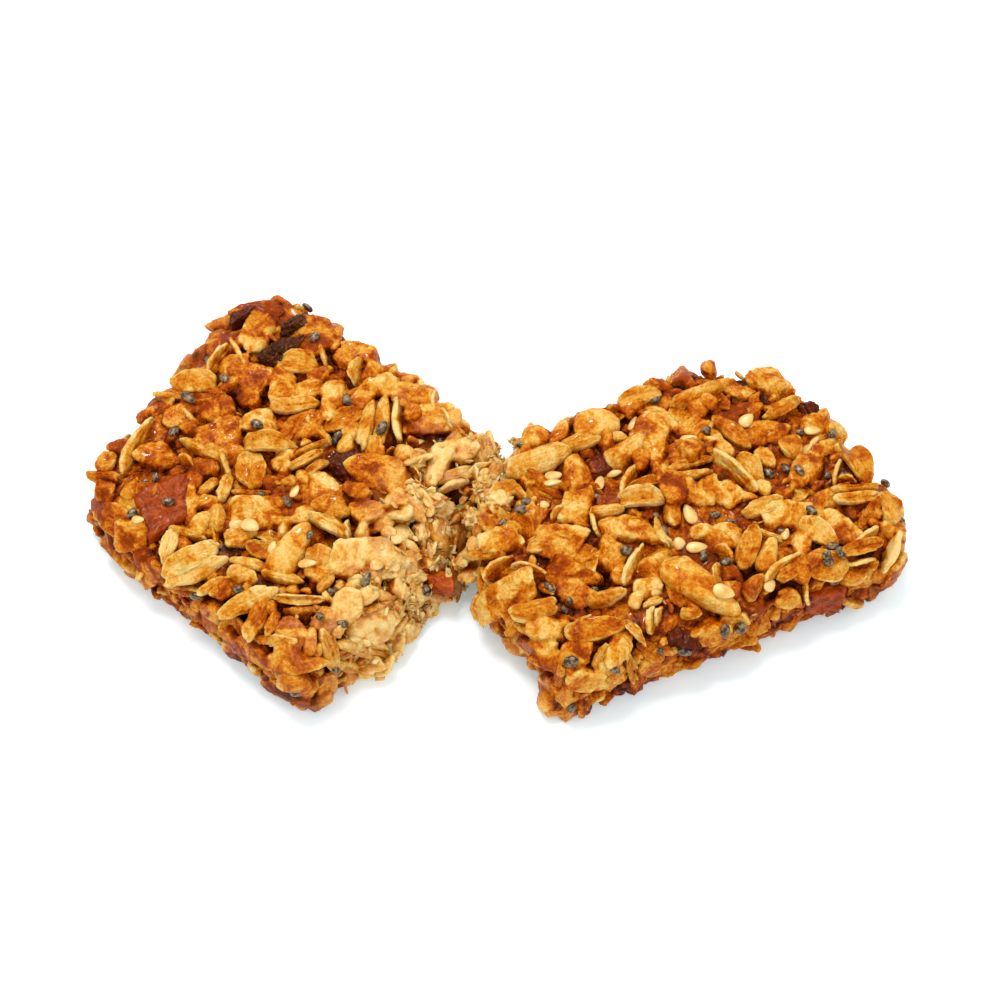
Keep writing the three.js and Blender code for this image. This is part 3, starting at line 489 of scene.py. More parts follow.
# Gaps between the pieces, where nothing is strewn: spot and radius in pixels, and how deep.
hollows = {
    "left": [
        (238, 625, 11, 3.5), (300, 613, 14, 3), (283, 615, 9, 2.5), (318, 612, 9, 2.5), (405, 523, 11, 3),
        (322, 417, 7, 2), (395, 441, 7, 2), (430, 398, 6, 2), (220, 507, 7, 2), (150, 500, 6, 1.5),
        (455, 492, 8, 2.5), (470, 492, 7, 2), (437, 490, 6, 2), (345, 625, 9, 2.5), (360, 601, 7, 2),
        (383, 586, 6, 2), (265, 395, 6, 1.5), (350, 380, 6, 1.5), (282, 345, 7, 2), (225, 622, 7, 2),
        (440, 545, 6, 2), (447, 606, 11, 2.5), (500, 428, 14, 3.5), (470, 408, 10, 2), (455, 398, 8, 1.5),
        (430, 618, 10, 1.5), (205, 598, 10, 3), (262, 652, 11, 3.5), (175, 560, 8, 2.5), (150, 535, 7, 2),
        (290, 672, 8, 2.5), (235, 640, 9, 3), (330, 700, 7, 2), (478, 424, 13, 1.2), (445, 612, 12, 0.8),
        (499, 439, 13, 2), (488, 430, 10, 1.5), (440, 622, 15, 3), (428, 612, 10, 1.5),
    ],
    "right": [
        (757, 455, 10, 3), (868, 535, 8, 2.5), (745, 580, 11, 3), (600, 572, 12, 3), (640, 645, 9, 2.5),
        (608, 667, 10, 2.5), (505, 468, 8, 2), (560, 556, 7, 2), (700, 455, 6, 1.5), (655, 470, 7, 2),
        (790, 487, 6, 1.5), (512, 668, 10, 2.5), (520, 682, 8, 2), (790, 620, 8, 2), (560, 640, 8, 2),
        (514, 436, 13, 1.2), (597, 404, 14, 0.9), (696, 378, 14, 0.7), (742, 372, 11, 0.7),
        (513, 437, 11, 1.5), (704, 374, 14, 1.2), (736, 372, 12, 1.2), (668, 381, 11, 0.8),
    ],
}
# Spots along the edges that lose the pieces strewn there, once all are laid.
clearings = {
    "left": [(471, 431, 9), (481, 434, 10), (292, 303, 9), (430, 604, 10), (150, 414, 11), (420, 614, 8)],
    "right": [
        (748, 371, 9), (681, 383, 11), (716, 372, 13), (760, 644, 10), (741, 638, 8), (741, 377, 9),
        (724, 367, 9), (835, 430, 8),
    ],
}

fruits = {  # half, (along, across, height), (length, width, height), turn
    "cranberry_centre": ("left", (19.4, -6.1, 11.8), (6.2, 5.8, 4.4), 0),
    "raisin_back": ("left", (41.1, -12.9, 12), (5, 4.8, 3.8), 12),
    "raisin_ridge": ("left", (42.7, -18.6, 12.3), (5.4, 2.8, 3.4), 77),
    "cranberry_tip": ("left", (50.4, -15.4, 11.4), (5.5, 3, 4.6), 98),
    "raisin_front": ("left", (20.5, 15.9, 11.6), (5.4, 4.2, 3.6), -12),
    "raisin_side": ("left", (18.6, 22.6, 8), (4.8, 3.8, 3.6), 12),
    "date_cube": ("left", (33, 17, 10.2), (9, 7, 6), 82),
    "cranberry_large": ("right", (19.1, -19.2, 8), (9.4, 5.6, 6.4), 73),
    "cranberry_upper": ("right", (18.9, 9.1, 12.2), (4.8, 4.2, 3.6), 0),
    "cranberry_middle": ("right", (17.3, 2.5, 12.2), (4, 4, 3.4), 0),
    "cranberry_corner": ("right", (52.5, 6.3, 11.4), (4.2, 3, 3.6), -77),
    "date_side": ("right", (41.2, -20.6, 6), (7.6, 5.6, 6.6), 82),
}


def report(words):
    print(f"[{time.time() - startTime:5.1f}s] {words}")


# The solids' script draws the same numbers, so that its pieces lie where they do here.
def makeRandom(seed):
    state = seed * 7919 + 13

    def draw():
        nonlocal state
        state = (state * 1664525 + 1013904223) % 4294967296
        return state / 4294967296
    return draw


def readTable(table, position):
    return np.interp(position, [row[0] for row in table], [row[1] for row in table])


def outlineOf(half):
    side = half["width"] / 2
    path = [(readTable(half["tornEdge"], -side), -side)]
    for corner, radius in enumerate(half["cornerRadii"]):
        centre = (half["length"] - radius, side - radius if corner else radius - side)
        for step in range(bar["cornerSteps"] + 1):
            angle = math.radians((0 if corner else -90) + 90 * step / bar["cornerSteps"])
            across = centre[1] + radius * math.sin(angle)
            path.append((centre[0] + radius * math.cos(angle) + half["endSkew"] * across, across))
    for across, along in reversed(half["tornEdge"]):
        path.append((along, min(max(across, -side), side)))
    return spaceEvenly(np.array(path), bar["outlineSteps"])


def spaceEvenly(path, count):
    reach = np.concatenate(([0], np.cumsum(np.linalg.norm(np.diff(path, axis=0), axis=1))))
    stops = reach[-1] * np.arange(count) / count
    return np.stack([np.interp(stops, reach, path[:, axis]) for axis in (0, 1)], axis=1)


def inset(outline, distance):
    run = np.roll(outline, -1, axis=0) - np.roll(outline, 1, axis=0)
    run /= np.linalg.norm(run, axis=1, keepdims=True)
    return outline + distance * np.stack([-run[:, 1], run[:, 0]], axis=1)


def place(half, spot):
    turn = math.radians(half["heading"])
    along, across, height = spot
    return Vector((
        half["centre"][0] + along * math.cos(turn) - across * math.sin(turn),
        half["centre"][1] + along * math.sin(turn) + across * math.cos(turn),
        height,
    ))


# The reverse of place, for many points at once: columns are along, across and height.
def placeBack(half, points):
    turn = math.radians(half["heading"])
    away = points[:, :2] - np.array(half["centre"])
    along = away @ np.array([math.cos(turn), math.sin(turn)])
    across = away @ np.array([-math.sin(turn), math.cos(turn)])
    return np.stack([along, across, points[:, 2]], axis=1)


def slabOf(half):
    points = []
    for share, drawnIn in bar["levels"]:
        for along, across in inset(outlineOf(half), drawnIn):
            fromBreak = along - readTable(half["tornEdge"], across)
            fade = min(max(1 - fromBreak / bar["breakDepth"], 0), 1)
            moved = along + readTable(half["tornLean"], across) * share * fade
            points.append(place(half, (moved, across, share * bar["slabHeight"])))
    points.append(place(half, (half["length"] / 2, 0, 0)))
    points.append(place(half, (half["length"] / 2, 0, bar["slabHeight"])))
    steps = bar["outlineSteps"]
    top = (len(bar["levels"]) - 1) * steps
    triangles = []
    for j in range(steps):
        following = (j + 1) % steps
        for ring in range(0, top, steps):
            a, b = ring + j, ring + following
            triangles += [(a, b, b + steps), (a, b + steps, a + steps)]
        triangles += [(top + j, top + following, len(points) - 1), (following, j, len(points) - 2)]
    return points, triangles


# Where the camera stands, and the ways it faces, up and right.
def cameraAxes():
    rise = math.radians(view["elevation"])
    facing = np.array([0, math.cos(rise), -math.sin(rise)])
    upward = np.array([0, math.sin(rise), math.cos(rise)])
    return np.array(view["lookAt"]) - facing * view["distance"], facing, upward, np.array([1.0, 0, 0])


def pixelOf(point):
    eye, facing, upward, rightward = cameraAxes()
    away = np.array(point) - eye
    zoom = view["pixels"] * view["distance"]
    deep = away @ facing
    return np.array([
        view["middle"][0] + zoom * (away @ rightward) / deep,
        view["middle"][1] - zoom * (away @ upward) / deep,
    ])


def lineOfSight(x, y):
    eye, facing, upward, rightward = cameraAxes()
    zoom = view["pixels"] * view["distance"]
    way = rightward * (x - view["middle"][0]) / zoom - upward * (y - view["middle"][1]) / zoom + facing
    return Vector(eye), Vector(way / np.linalg.norm(way))


# What the camera sees at a pixel at a known height, to a tenth of a millimetre.
def spotAtHeight(x, y, height):
    eye, way = lineOfSight(x, y)
    spot = eye + way * ((height - eye.z) / way.z)
    return Vector((round(spot.x, 1), round(spot.y, 1), height))


class Skin:
    def __init__(self, half):
        self.half = half
        self.points, self.triangles = slabOf(half)
        self.normals = [Vector() for point in self.points]
        self.reach = []
        total = 0
        for corners in self.triangles:
            a, b, c = (self.points[i] for i in corners)
            cross = (b - a).cross(c - a) / 2
            for i in corners:
                self.normals[i] = self.normals[i] + cross
            total += cross.length
            self.reach.append(total)
        for normal in self.normals:
            normal.normalize()
        outside = [point + normal * view["standOff"] for point, normal in zip(self.points, self.normals)]
        self.tree = BVHTree.FromPolygons([tuple(point) for point in self.points], self.triangles)
        self.outer = BVHTree.FromPolygons([tuple(point) for point in outside], self.triangles)
        self.hollows = self.seenRounds(hollows[half["name"]])
        self.clearings = self.seenRounds(clearings[half["name"]])

    def seat(self, corners, weights):
        point, normal = Vector(), Vector()
        for i, weight in zip(corners, weights):
            point += self.points[i] * weight
            normal += self.normals[i] * weight
        return point, normal.normalized()

    def draw(self, random):
        target = random() * self.reach[-1]
        first, second = math.sqrt(random()), random()
        corners = self.triangles[bisect.bisect_left(self.reach, target)]
        return self.seat(corners, (1 - first, first * (1 - second), first * second))

    def nearest(self, point):
        foot, facing, index, distance = self.tree.find_nearest(point)
        corners = self.triangles[index]
        a, b, c = (self.points[i] for i in corners)
        square = (b - a).cross(c - a)
        weights = [
            (c - b).cross(foot - b).dot(square) / square.dot(square),
            (a - c).cross(foot - c).dot(square) / square.dot(square),
        ]
        return self.seat(corners, (*weights, 1 - sum(weights)))

    # What the camera sees of this half at a pixel, or the nearest to it that the line of sight passes,
    # to a tenth of a millimetre.
    def seenSpot(self, x, y):
        eye, way = lineOfSight(x, y)
        spot = self.outer.ray_cast(eye, way)[0]
        if spot is None:
            passed = [eye + way * float(distance) for distance in range(*view["passing"])]
            spot = min(passed, key=lambda point: self.outer.find_nearest(point)[3])
        local = placeBack(self.half, np.array([spot]))[0]
        return spot, place(self.half, [round(float(value), 1) for value in local])

    # The length, width and turn on the surface of what the camera sees at a spot with these in pixels.
    def seenSize(self, spot, length, width, angle):
        stand = Vector((0, 0, 1)).rotation_difference(self.nearest(spot)[1])
        step = view["step"]
        ways = [stand @ Vector(axis) for axis in ((1, 0, 0), (0, 1, 0))]
        spread = np.stack([(pixelOf(spot + way * step) - pixelOf(spot)) / step for way in ways], axis=1)
        drawn = np.array([math.cos(math.radians(angle)), -math.sin(math.radians(angle))])
        lies = np.array([1, 0]) / view["pixels"]
        if abs(np.linalg.det(spread)) > view["steepest"]:
            lies = np.linalg.solve(spread, drawn)
        turn = math.atan2(lies[1], lies[0])
        aside = spread @ np.array([-math.sin(turn), math.cos(turn)])
        shown = max(abs(aside[0] * drawn[1] - aside[1] * drawn[0]), view["narrowest"])
        mostLong, mostWide = view["longest"]
        return (
            round(min(length * np.linalg.norm(lies), length / view["pixels"] * mostLong), 1),
            round(min(width / shown, width / view["pixels"] * mostWide), 1),
            round(math.degrees(turn) % 360),
        )

    # Round spots given in pixels, with their middle on the slab and their radius in millimetres.
    def seenRounds(self, rows):
        return [
            (self.nearest(self.seenSpot(x, y)[1])[0], round(radius / view["pixels"], 1), *depth)
            for x, y, radius, *depth in rows
        ]


def newPiece(kind, point, normal, size, yaw, tilt, leanYaw, lift, tone=None, torn=0, sinkMore=0, sinkShare=1):
    return {
        "kind": kind, "point": point, "normal": normal, "size": size, "yaw": yaw, "tilt": tilt,
        "leanYaw": leanYaw, "lift": lift, "tone": tone, "torn": torn,
        "sinkMore": sinkMore, "sinkShare": sinkShare,
    }


def placedPiece(skin, kind, point, size, yaw, tilt, tone=None):
    point, normal = skin.nearest(point)
    bare = breakFace(skin.half, point)
    torn = 0.9 if kind == "crumb" else 0
    sinkMore = bar["sinkTorn"] * bare + sinkTowards(skin.half, normal)
    return newPiece(kind, point, normal, size, yaw, tilt, yaw, 0.5, tone, torn, sinkMore, 1 - bare)


def seenPiece(skin, kind, x, y, length, width, angle, tone, thickness=None, tilt=None):
    seen, spot = skin.seenSpot(x, y)
    rule = showRules[kind]
    long, wide, yaw = skin.seenSize(seen, length, width, angle)
    thickness = thickness or rule["thickness"]
    if kind == "sliver":  # it stands on edge, so the width that shows is its thickness
        wide, thickness = rule["width"], max(rule["thickness"], width / view["pixels"])
    tilt = rule["tilt"] if tilt is None else tilt
    size = (long * view["grown"], wide * view["grown"], thickness)
    tone = baking["palest"] + tone * baking["step"]
    return {**placedPiece(skin, kind, spot, size, yaw, tilt, tone), "kept": True}


def sinkTowards(half, normal):
    return half["sinkBack"] * max(normal.y, 0) + half["sinkFront"] * max(-normal.y, 0)


# 1 on the face of the break and 0 elsewhere
def breakFace(half, point):
    local = placeBack(half, np.array([point]))[0]
    lean = readTable(half["tornLean"], local[1]) * local[2] / bar["slabHeight"]
    behind = local[0] - readTable(half["tornEdge"], local[1]) - lean
    return min(max(bar["faceReach"] - behind / bar["faceFade"], 0), 1)


strewing = {
    "attempts": 4000,
    "otherKind": 0.45,  # how near another kind may lie, as a share of how far its own keep apart
    "underneath": -0.5,  # a face that looks further down than this stays bare
    "solidMargin": 0.15,  # how far the solids' own pieces keep from the ones that show most
    "widthMargin": 0.2,  # and how far the others do, as a share of their width
    "hollowShare": 0.9,  # how much of a hollow stays free of them
}


def freePiece(skin, kind, point, normal, random):
    rule = kinds[kind]
    size = [length * (1 + rule["spread"] * (2 * random() - 1)) for length in rule["size"]]
    yaw = random() * 360
    tilt = rule["tilt"] * (0.25 + 2.2 * random() ** 3)
    leanYaw = random() * 360
    sinkMore = sinkTowards(skin.half, normal)
    return newPiece(kind, point, normal, size, yaw, tilt, leanYaw, random(), sinkMore=sinkMore)


def crowded(kind, point, laid):
    apart = kinds[kind]["apart"]
    share = strewing["otherKind"]
    return any(
        (other["point"] - point).length < apart * (1 if other["kind"] == kind else share) for other in laid
    )


def layPieces(half, balls):
    skin = Skin(half)
    random = makeRandom(half["seed"])
    laid = [placedPiece(skin, kind, place(half, spot), *rest) for kind, spot, *rest in half["placed"]]
    for kind in solidKinds:
        laid += strewPieces(skin, kind, laid, balls, random)
    shown = [seenPiece(skin, *row) for row in showPieces[half["name"]]]
    prints = footprints(shown)
    margin = strewing["solidMargin"]
    laid = [
        piece for piece in laid
        if not (underPrint(prints, piece["point"], margin) or within(skin.hollows, piece["point"]))
    ]
    laid += shown
    for kind in looseKinds:
        near = [] if kind in fineKinds else laid
        laid = laid + strewPieces(skin, kind, near, balls, random, prints)
    laid += tearPieces(skin, prints)
    for piece in laid:
        piece["gone"] = "kept" not in piece and within(skin.clearings, piece["point"])
    return skin, laid + fringePieces(half), prints


# Where the pieces that show most lie, as ovals, so that nothing small is strewn over them.
def footprints(shown):
    seats = [seatOf(piece) for piece in shown]
    return (
        np.array([rotation for rotation, centre in seats]),
        np.array([piece["point"][:] for piece in shown]),
        np.array([[piece["size"][0] / 2, max(piece["size"][1:]) / 2] for piece in shown]),
    )


def underPrint(prints, point, margin):
    rotations, centres, reach = prints
    away = np.einsum("nij,ni->nj", rotations, np.array(point) - centres)
    return bool(((away[:, :2] / (reach + margin)) ** 2).sum(axis=1).min() < 1)


def within(rounds, point):
    share = strewing["hollowShare"]
    return any((point - centre).length < radius * share for centre, radius, *depth in rounds)


def strewPieces(skin, kind, laid, balls, random, prints=None):
    made = []
    width = kinds[kind]["size"][1]
    margin = 0 if kind == "grit" else width * strewing["widthMargin"]
    for attempt in range(strewing["attempts"]):
        if len(made) == kinds[kind]["count"]:
            break
        point, normal = skin.draw(random)
        onFruit = any((centre - point).length < radius + width / 2 for centre, radius in balls)
        if crowded(kind, point, laid + made) or onFruit or normal.z < strewing["underneath"]:
            continue
        if prints and (underPrint(prints, point, margin) or within(skin.hollows, point)):
            continue
        made.append(freePiece(skin, kind, point, normal, random))
    return made


tearing = {
    "crumb": {"count": 150, "size": (2.8, 2.2, 1.9)},
    "scale": {"count": 130, "size": (4.0, 2.5, 0.5)},
    "attempts": 20000,
    "bareness": (0.3, 0.4),  # how bare a spot has to be, and how much more by chance
    "growth": (0.5, 0.9),
    "lift": 1.2,
    "darkest": 0.34,
    "sinkShare": 0.6,
    "torn": {"chip": 0.35, "lump": 0.8, "scale": 0.8},
}


# Crumb and broken flakes where the bar was torn apart.
def tearPieces(skin, prints):
    random = makeRandom(skin.half["seed"] + 40)
    barest, more = tearing["bareness"]
    smallest, growth = tearing["growth"]
    made = []
    for kind in ("crumb", "scale"):
        done = 0
        for attempt in range(tearing["attempts"]):
            if done == tearing[kind]["count"]:
                break
            point, normal = skin.draw(random)
            bare = tornnessOf(skin.half, np.array([point]))[0]
            if bare < barest + more * random() or normal.z < strewing["underneath"]:
                continue
            if underPrint(prints, point, 0) or within(skin.hollows, point):
                continue
            grown = smallest + random() ** 1.5 * growth
            size = [length * grown for length in tearing[kind]["size"]]
            shape = kind
            if kind == "crumb":
                shape = "chip" if done % 5 < 2 else "lump"
            yaw, tilt, leanYaw = random() * 360, random() * 90, random() * 360
            lift, tone = random() * tearing["lift"], tearing["darkest"] * random() ** 1.6
            torn = bare * tearing["torn"][shape]
            made.append(newPiece(shape, point, normal, size, yaw, tilt, leanYaw, lift, tone, torn,
                                 sinkShare=tearing["sinkShare"]))
            done += 1
    return made


fraying = {"facing": (-0.15, -0.35, 1), "lift": 0.2, "leanTurn": 70, "torn": {"crumb": 0.6, "scale": 0.6}}


# The pieces that the fringe lists. They stand in the air beside the slab, so they have a facing of their own.
def fringePieces(half):
    made = []
    facing = Vector(fraying["facing"]).normalized()
    for number, (kind, (x, y), height, size, yaw, tilt, tone) in enumerate(fringe[half["name"]]):
        point = spotAtHeight(x, y, height)
        leanYaw = yaw + fraying["leanTurn"] * number
        tone = baking["palest"] + tone * baking["fringeStep"]
        torn = fraying["torn"].get(kind, 0.2)
        made.append(newPiece(kind, point, facing, size, yaw, tilt, leanYaw, fraying["lift"], tone, torn))
    return made


def seatOf(piece):
    up = Vector((0, 0, 1))
    turn = Quaternion(up, math.radians(piece["yaw"]))
    leanYaw = math.radians(piece["leanYaw"])
    lean = Quaternion(Vector((math.cos(leanYaw), math.sin(leanYaw), 0)), math.radians(piece["tilt"]))
    stand = up.rotation_difference(piece["normal"])
    steep = 1 - max(piece["normal"].z, 0)
    wall = 1 - bar["wallSink"] * steep
    raised = piece["size"][2] * kinds[piece["kind"]]["raised"] * (0.5 + piece["lift"]) * wall
    raised -= bar["sink"] + bar["wallSinkMore"] * steep * piece["sinkShare"]
    raised -= piece["sinkMore"]
    centre = piece["point"] + piece["normal"] * raised
    return np.array((stand @ lean @ turn).to_matrix()), np.array(centre)


def meshArrays(bm):
    bmesh.ops.triangulate(bm, faces=bm.faces)
    bm.verts.ensure_lookup_table()
    points = np.array([vert.co[:] for vert in bm.verts])
    faces = np.array([[vert.index for vert in face.verts] for face in bm.faces])
    bm.free()
    return points, faces


def ballMesh(detail):
    bm = bmesh.new()
    bmesh.ops.create_icosphere(bm, subdivisions=detail, radius=1)
    return meshArrays(bm)


def discMesh(around, down):
    bm = bmesh.new()
    bmesh.ops.create_uvsphere(bm, u_segments=around, v_segments=down, radius=1)
    return meshArrays(bm)


# A chopped nut: a block with its faces a little askew and some corners cut off.
def chunkShape(seed, detail, cuts=6, power=10, pitted=0.07):
    rng = np.random.default_rng(seed)
    points, faces = ballMesh(detail)
    normals = [np.array(axis) * sign + rng.normal(0, 0.22, 3) for axis in np.eye(3) for sign in (-1, 1)]
    offsets = [0.47 * (1 + rng.uniform(-0.14, 0.06)) for plane in normals]
    for cut in range(cuts):
        normals.append(rng.normal(0, 1, 3))
        offsets.append(rng.uniform(0.36, 0.55))
    normals = np.array([normal / np.linalg.norm(normal) for normal in normals])
    push = np.maximum(points @ normals.T, 0) / np.array(offsets)
    radius = (push ** power).sum(axis=1) ** (-1 / power)
    offset = Vector(rng.uniform(-50, 50, 3).tolist())
    pits = np.array([noise.fractal(Vector(point) * 2.1 + offset, 0.9, 2.0, 3) for point in points.tolist()])
    return points * (radius * (1 + pitted * pits))[:, None], faces, np.zeros(len(points))


# A rolled oat: a thin oval with a groove down its middle, a frayed rim and a slight curl.
def oatShape(seed, around, down, narrow=1.0, curl=1.0):
    rng = np.random.default_rng(seed)
    points, faces = discMesh(around, down)
    angle = np.arctan2(points[:, 1], points[:, 0])
    rho = np.hypot(points[:, 0], points[:, 1])
    rim = 1 + sum(
        rng.normal(0, 0.03) * np.cos(waves * angle + rng.uniform(0, 6.28)) for waves in (2, 3, 5, 7)
    )
    for split in range(2):
        gap = np.angle(np.exp(1j * (angle - rng.uniform(0, 6.28))))
        rim -= rng.uniform(0.03, 0.16) * np.exp(-(gap / 0.12) ** 2)
    x = 0.5 * rho * rim * np.cos(angle)
    y = 0.5 * rho * rim * np.sin(angle) * (1 - rng.uniform(0.0, 0.3) * np.cos(angle) * rho) * narrow
    z = 0.44 * np.sign(points[:, 2]) * np.abs(points[:, 2]) ** 0.5
    top = points[:, 2] > 0
    groove = rng.uniform(0.02, 0.16) * np.exp(-((y - rng.uniform(-0.08, 0.08)) / 0.05) ** 2)
    z = z - np.where(top, groove * np.clip(1 - (x / 0.46) ** 2, 0, 1), 0)
    z = z + rng.uniform(0.05, 0.2) * np.cos(3 * angle + rng.uniform(0, 6.28)) * rho ** 3
    z = z + curl * (rng.normal(0, 0.9) * (x ** 2 - 0.08) + rng.normal(0, 1.1) * (y ** 2 - 0.05))
    return np.stack([x, y, z], axis=1), faces, np.where(top, rho, 1)


# A thin flake rolled up along its length, seen as a curled edge.
def curlShape(seed, around, down):
    rng = np.random.default_rng(seed)
    shape, faces, rim = oatShape(seed, around, down, 1.0, 0.3)
    bend = rng.uniform(2.2, 3.4)
    angle = shape[:, 1] * bend
    radius = 1 / bend
    shape = np.stack([
        shape[:, 0],
        (radius + shape[:, 2] * 0.3) * np.sin(angle) * 1.3,
        (radius + shape[:, 2] * 0.3) * np.cos(angle) - radius * 0.6,
    ], axis=1)
    return shape, faces, rim


# A smooth rounded kernel, blunt at one end.
def kernelShape(seed, detail):
    rng = np.random.default_rng(seed)
    points, faces = ballMesh(detail)
    norm = (np.abs(points) ** 2.5).sum(axis=1) ** (1 / 2.5)
    shape = 0.5 * points / norm[:, None]
    shape[:, 1] *= 1 - rng.uniform(0.1, 0.35) * shape[:, 0] * 2
    shape[:, 1] += rng.uniform(-0.2, 0.2) * (shape[:, 0] ** 2 * 4 - 0.3)
    lumps = sum(
        rng.normal(0, 0.03) * np.cos(points @ rng.normal(0, 2.2, 3) + rng.uniform(0, 6.28))
        for lump in range(5)
    )
    return shape * (1 + lumps)[:, None], faces, np.zeros(len(points))


def seedShape(detail, point):
    points, faces = ballMesh(detail)
    taper = 1 - point * points[:, 0]
    x, y, z = (0.5 * points).T
    shape = np.stack([x, y * taper, z * taper ** 0.5], axis=1)
    return shape, faces, np.zeros(len(points))


# A ragged lump of bare crumb, torn open rather than baked smooth.
def crumbShape(seed, detail, coarse=1.7):
    rng = np.random.default_rng(seed)
    points, faces = ballMesh(detail)
    offset = Vector(rng.uniform(-50, 50, 3).tolist())
    around = [Vector(point) * coarse for point in points.tolist()]
    rough = np.array([noise.fractal(point + offset, 0.55, 2.1, 5) for point in around])
    steps = np.array([noise.cell(point * 2.2 + offset) for point in around])
    lumpy = 1 + 0.26 * rough + 0.1 * (steps - 0.5)
    return 0.46 * points * lumpy[:, None], faces, np.clip(0.6 + rough, 0, 1)


def shardShape(seed):
    rng = np.random.default_rng(seed)
    points, faces = ballMesh(1)
    return 0.5 * points * rng.uniform(0.55, 1.1, (len(points), 1)), faces, np.zeros(len(points))


shapes = {
    "nut": [chunkShape(seed, 4) for seed in range(12)],
    "chip": [chunkShape(50 + seed, 3) for seed in range(8)],
    "flake": [oatShape(100 + seed, 28, 12) for seed in range(8)],
    "oat": [oatShape(130 + seed, 32, 12) for seed in range(10)],
    "shred": [oatShape(160 + seed, 20, 10, 0.8) for seed in range(6)],
    "sliver": [oatShape(190 + seed, 28, 10, 0.95, 0.7) for seed in range(8)],
    "bit": [oatShape(175 + seed, 10, 5, 0.9, 0.8) for seed in range(8)],
    "scale": [oatShape(210 + seed, 16, 8, 0.95, 2.0) for seed in range(8)],
    "curl": [curlShape(205 + seed, 28, 12) for seed in range(4)],
    "kernel": [kernelShape(215 + seed, 4) for seed in range(8)],
    "grit": [chunkShape(220 + seed, 2) for seed in range(8)],
    "crumb": [crumbShape(240 + seed, 4) for seed in range(6)],
    "lump": [crumbShape(280 + seed, 3) for seed in range(10)],
    "shard": [shardShape(260 + seed) for seed in range(10)],
    "sesame": [seedShape(3, 0.3)],
    "chia": [seedShape(3, 0.06)],
}


# Joins meshes given as (points, faces) into one.
def stacked(parts):
    starts = np.cumsum([0] + [len(points) for points, triangles in parts])
    faces = [triangles + start for (points, triangles), start in zip(parts, starts)]
    return np.concatenate([points for points, triangles in parts]), np.concatenate(faces)


# Places shapes and joins them into one array each of points, faces and per-point values.
def joinShapes(items):
    parts = []
    values = {key: [] for key in ("local", "tone", "torn", "rim", "grain", "bed")}
    for item in items:
        shape, triangles, rim = item["shape"]
        count = len(shape)
        sized = shape * np.array(item["size"])
        parts.append((sized @ item["rotation"].T + item["centre"], triangles))
        sized[:, 2] = item["number"]
        values["local"].append(sized)
        values["tone"].append(np.full(count, item["tone"]))
        values["torn"].append(np.full(count, item["torn"]))
        values["rim"].append(rim)
        values["grain"].append(np.full(count, 1.0 if item["thin"] else 0.1))
        values["bed"].append(np.zeros(count))
    return *stacked(parts), {key: np.concatenate(data) for key, data in values.items()}


def writeMesh(name, points, faces, attributes, smooth=True):
    mesh = bpy.data.meshes.new(name)
    mesh.vertices.add(len(points))
    mesh.vertices.foreach_set("co", np.asarray(points, dtype=np.float32).ravel())
    width = faces.shape[1]
    mesh.loops.add(faces.size)
    mesh.loops.foreach_set("vertex_index", faces.astype(np.int32).ravel())
    mesh.polygons.add(len(faces))
    mesh.polygons.foreach_set("loop_start", (np.arange(len(faces)) * width).astype(np.int32))
    mesh.polygons.foreach_set("use_smooth", np.full(len(faces), smooth))
    for label, data in attributes.items():
        kind = "FLOAT" if data.ndim == 1 else "FLOAT_VECTOR"
        layer = mesh.attributes.new(label, kind, "POINT")
        layer.data.foreach_set("value" if data.ndim == 1 else "vector", data.astype(np.float32).ravel())
    mesh.update(calc_edges=True)
    mesh.validate()  # thinning can leave two faces on the same corners
    piece = bpy.data.objects.new(name, mesh)
    bpy.context.collection.objects.link(piece)
    return piece


def normalsOf(points, faces):
    a, b, c = (points[faces[:, k]] for k in range(3))
    cross = np.cross(b - a, c - a)
    normals = np.stack([
        sum(np.bincount(faces[:, k], cross[:, axis], len(points)) for k in range(3)) for axis in range(3)
    ], axis=1)
    return normals / (np.linalg.norm(normals, axis=1, keepdims=True) + 1e-12)


fusing = {
    "voxel": 0.3,
    "mostTriangles": 190000,
    "roughness": 0.15,
    "relief": [(1, 1.1, 1), (0.7, 2.6, 2)],  # share, scale and seed of each layer
    "bedRelief": [(0.8, 0.55, 4), (0.45, 1.2, 5)],
}


def bakedModifier(lump):
    graph = bpy.context.evaluated_depsgraph_get()
    result = lump.evaluated_get(graph).to_mesh()
    points = np.empty(len(result.vertices) * 3)
    result.vertices.foreach_get("co", points)
    result.calc_loop_triangles()
    faces = np.empty(len(result.loop_triangles) * 3, dtype=np.int32)
    result.loop_triangles.foreach_get("vertices", faces)
    lump.evaluated_get(graph).to_mesh_clear()
    bpy.data.objects.remove(lump)
    return points.reshape(-1, 3), faces.reshape(-1, 3)


def fuse(points, faces):
    lump = writeMesh("lump", points, faces, {})
    remesh = lump.modifiers.new("fuse", "REMESH")
    remesh.mode = "VOXEL"
    remesh.voxel_size = fusing["voxel"]
    points, faces = bakedModifier(lump)
    report(f"{len(faces)} triangles when fused")
    if len(faces) <= fusing["mostTriangles"]:
        return points, faces
    lump = writeMesh("lump", points, faces, {})
    thin = lump.modifiers.new("thin", "DECIMATE")
    thin.ratio = fusing["mostTriangles"] / len(faces)
    return bakedModifier(lump)


def edgesOf(faces):
    pairs = np.concatenate([faces[:, [0, 1]], faces[:, [1, 2]], faces[:, [2, 0]]])
    return np.unique(np.sort(pairs, axis=1), axis=0)


def spreadOut(values, edges, rounds):
    count = np.bincount(edges.ravel(), minlength=len(values)) + 1
    for turn in range(rounds):
        total = values + np.bincount(edges[:, 0], values[edges[:, 1]], len(values))
        total += np.bincount(edges[:, 1], values[edges[:, 0]], len(values))
        values = total / count
    return values


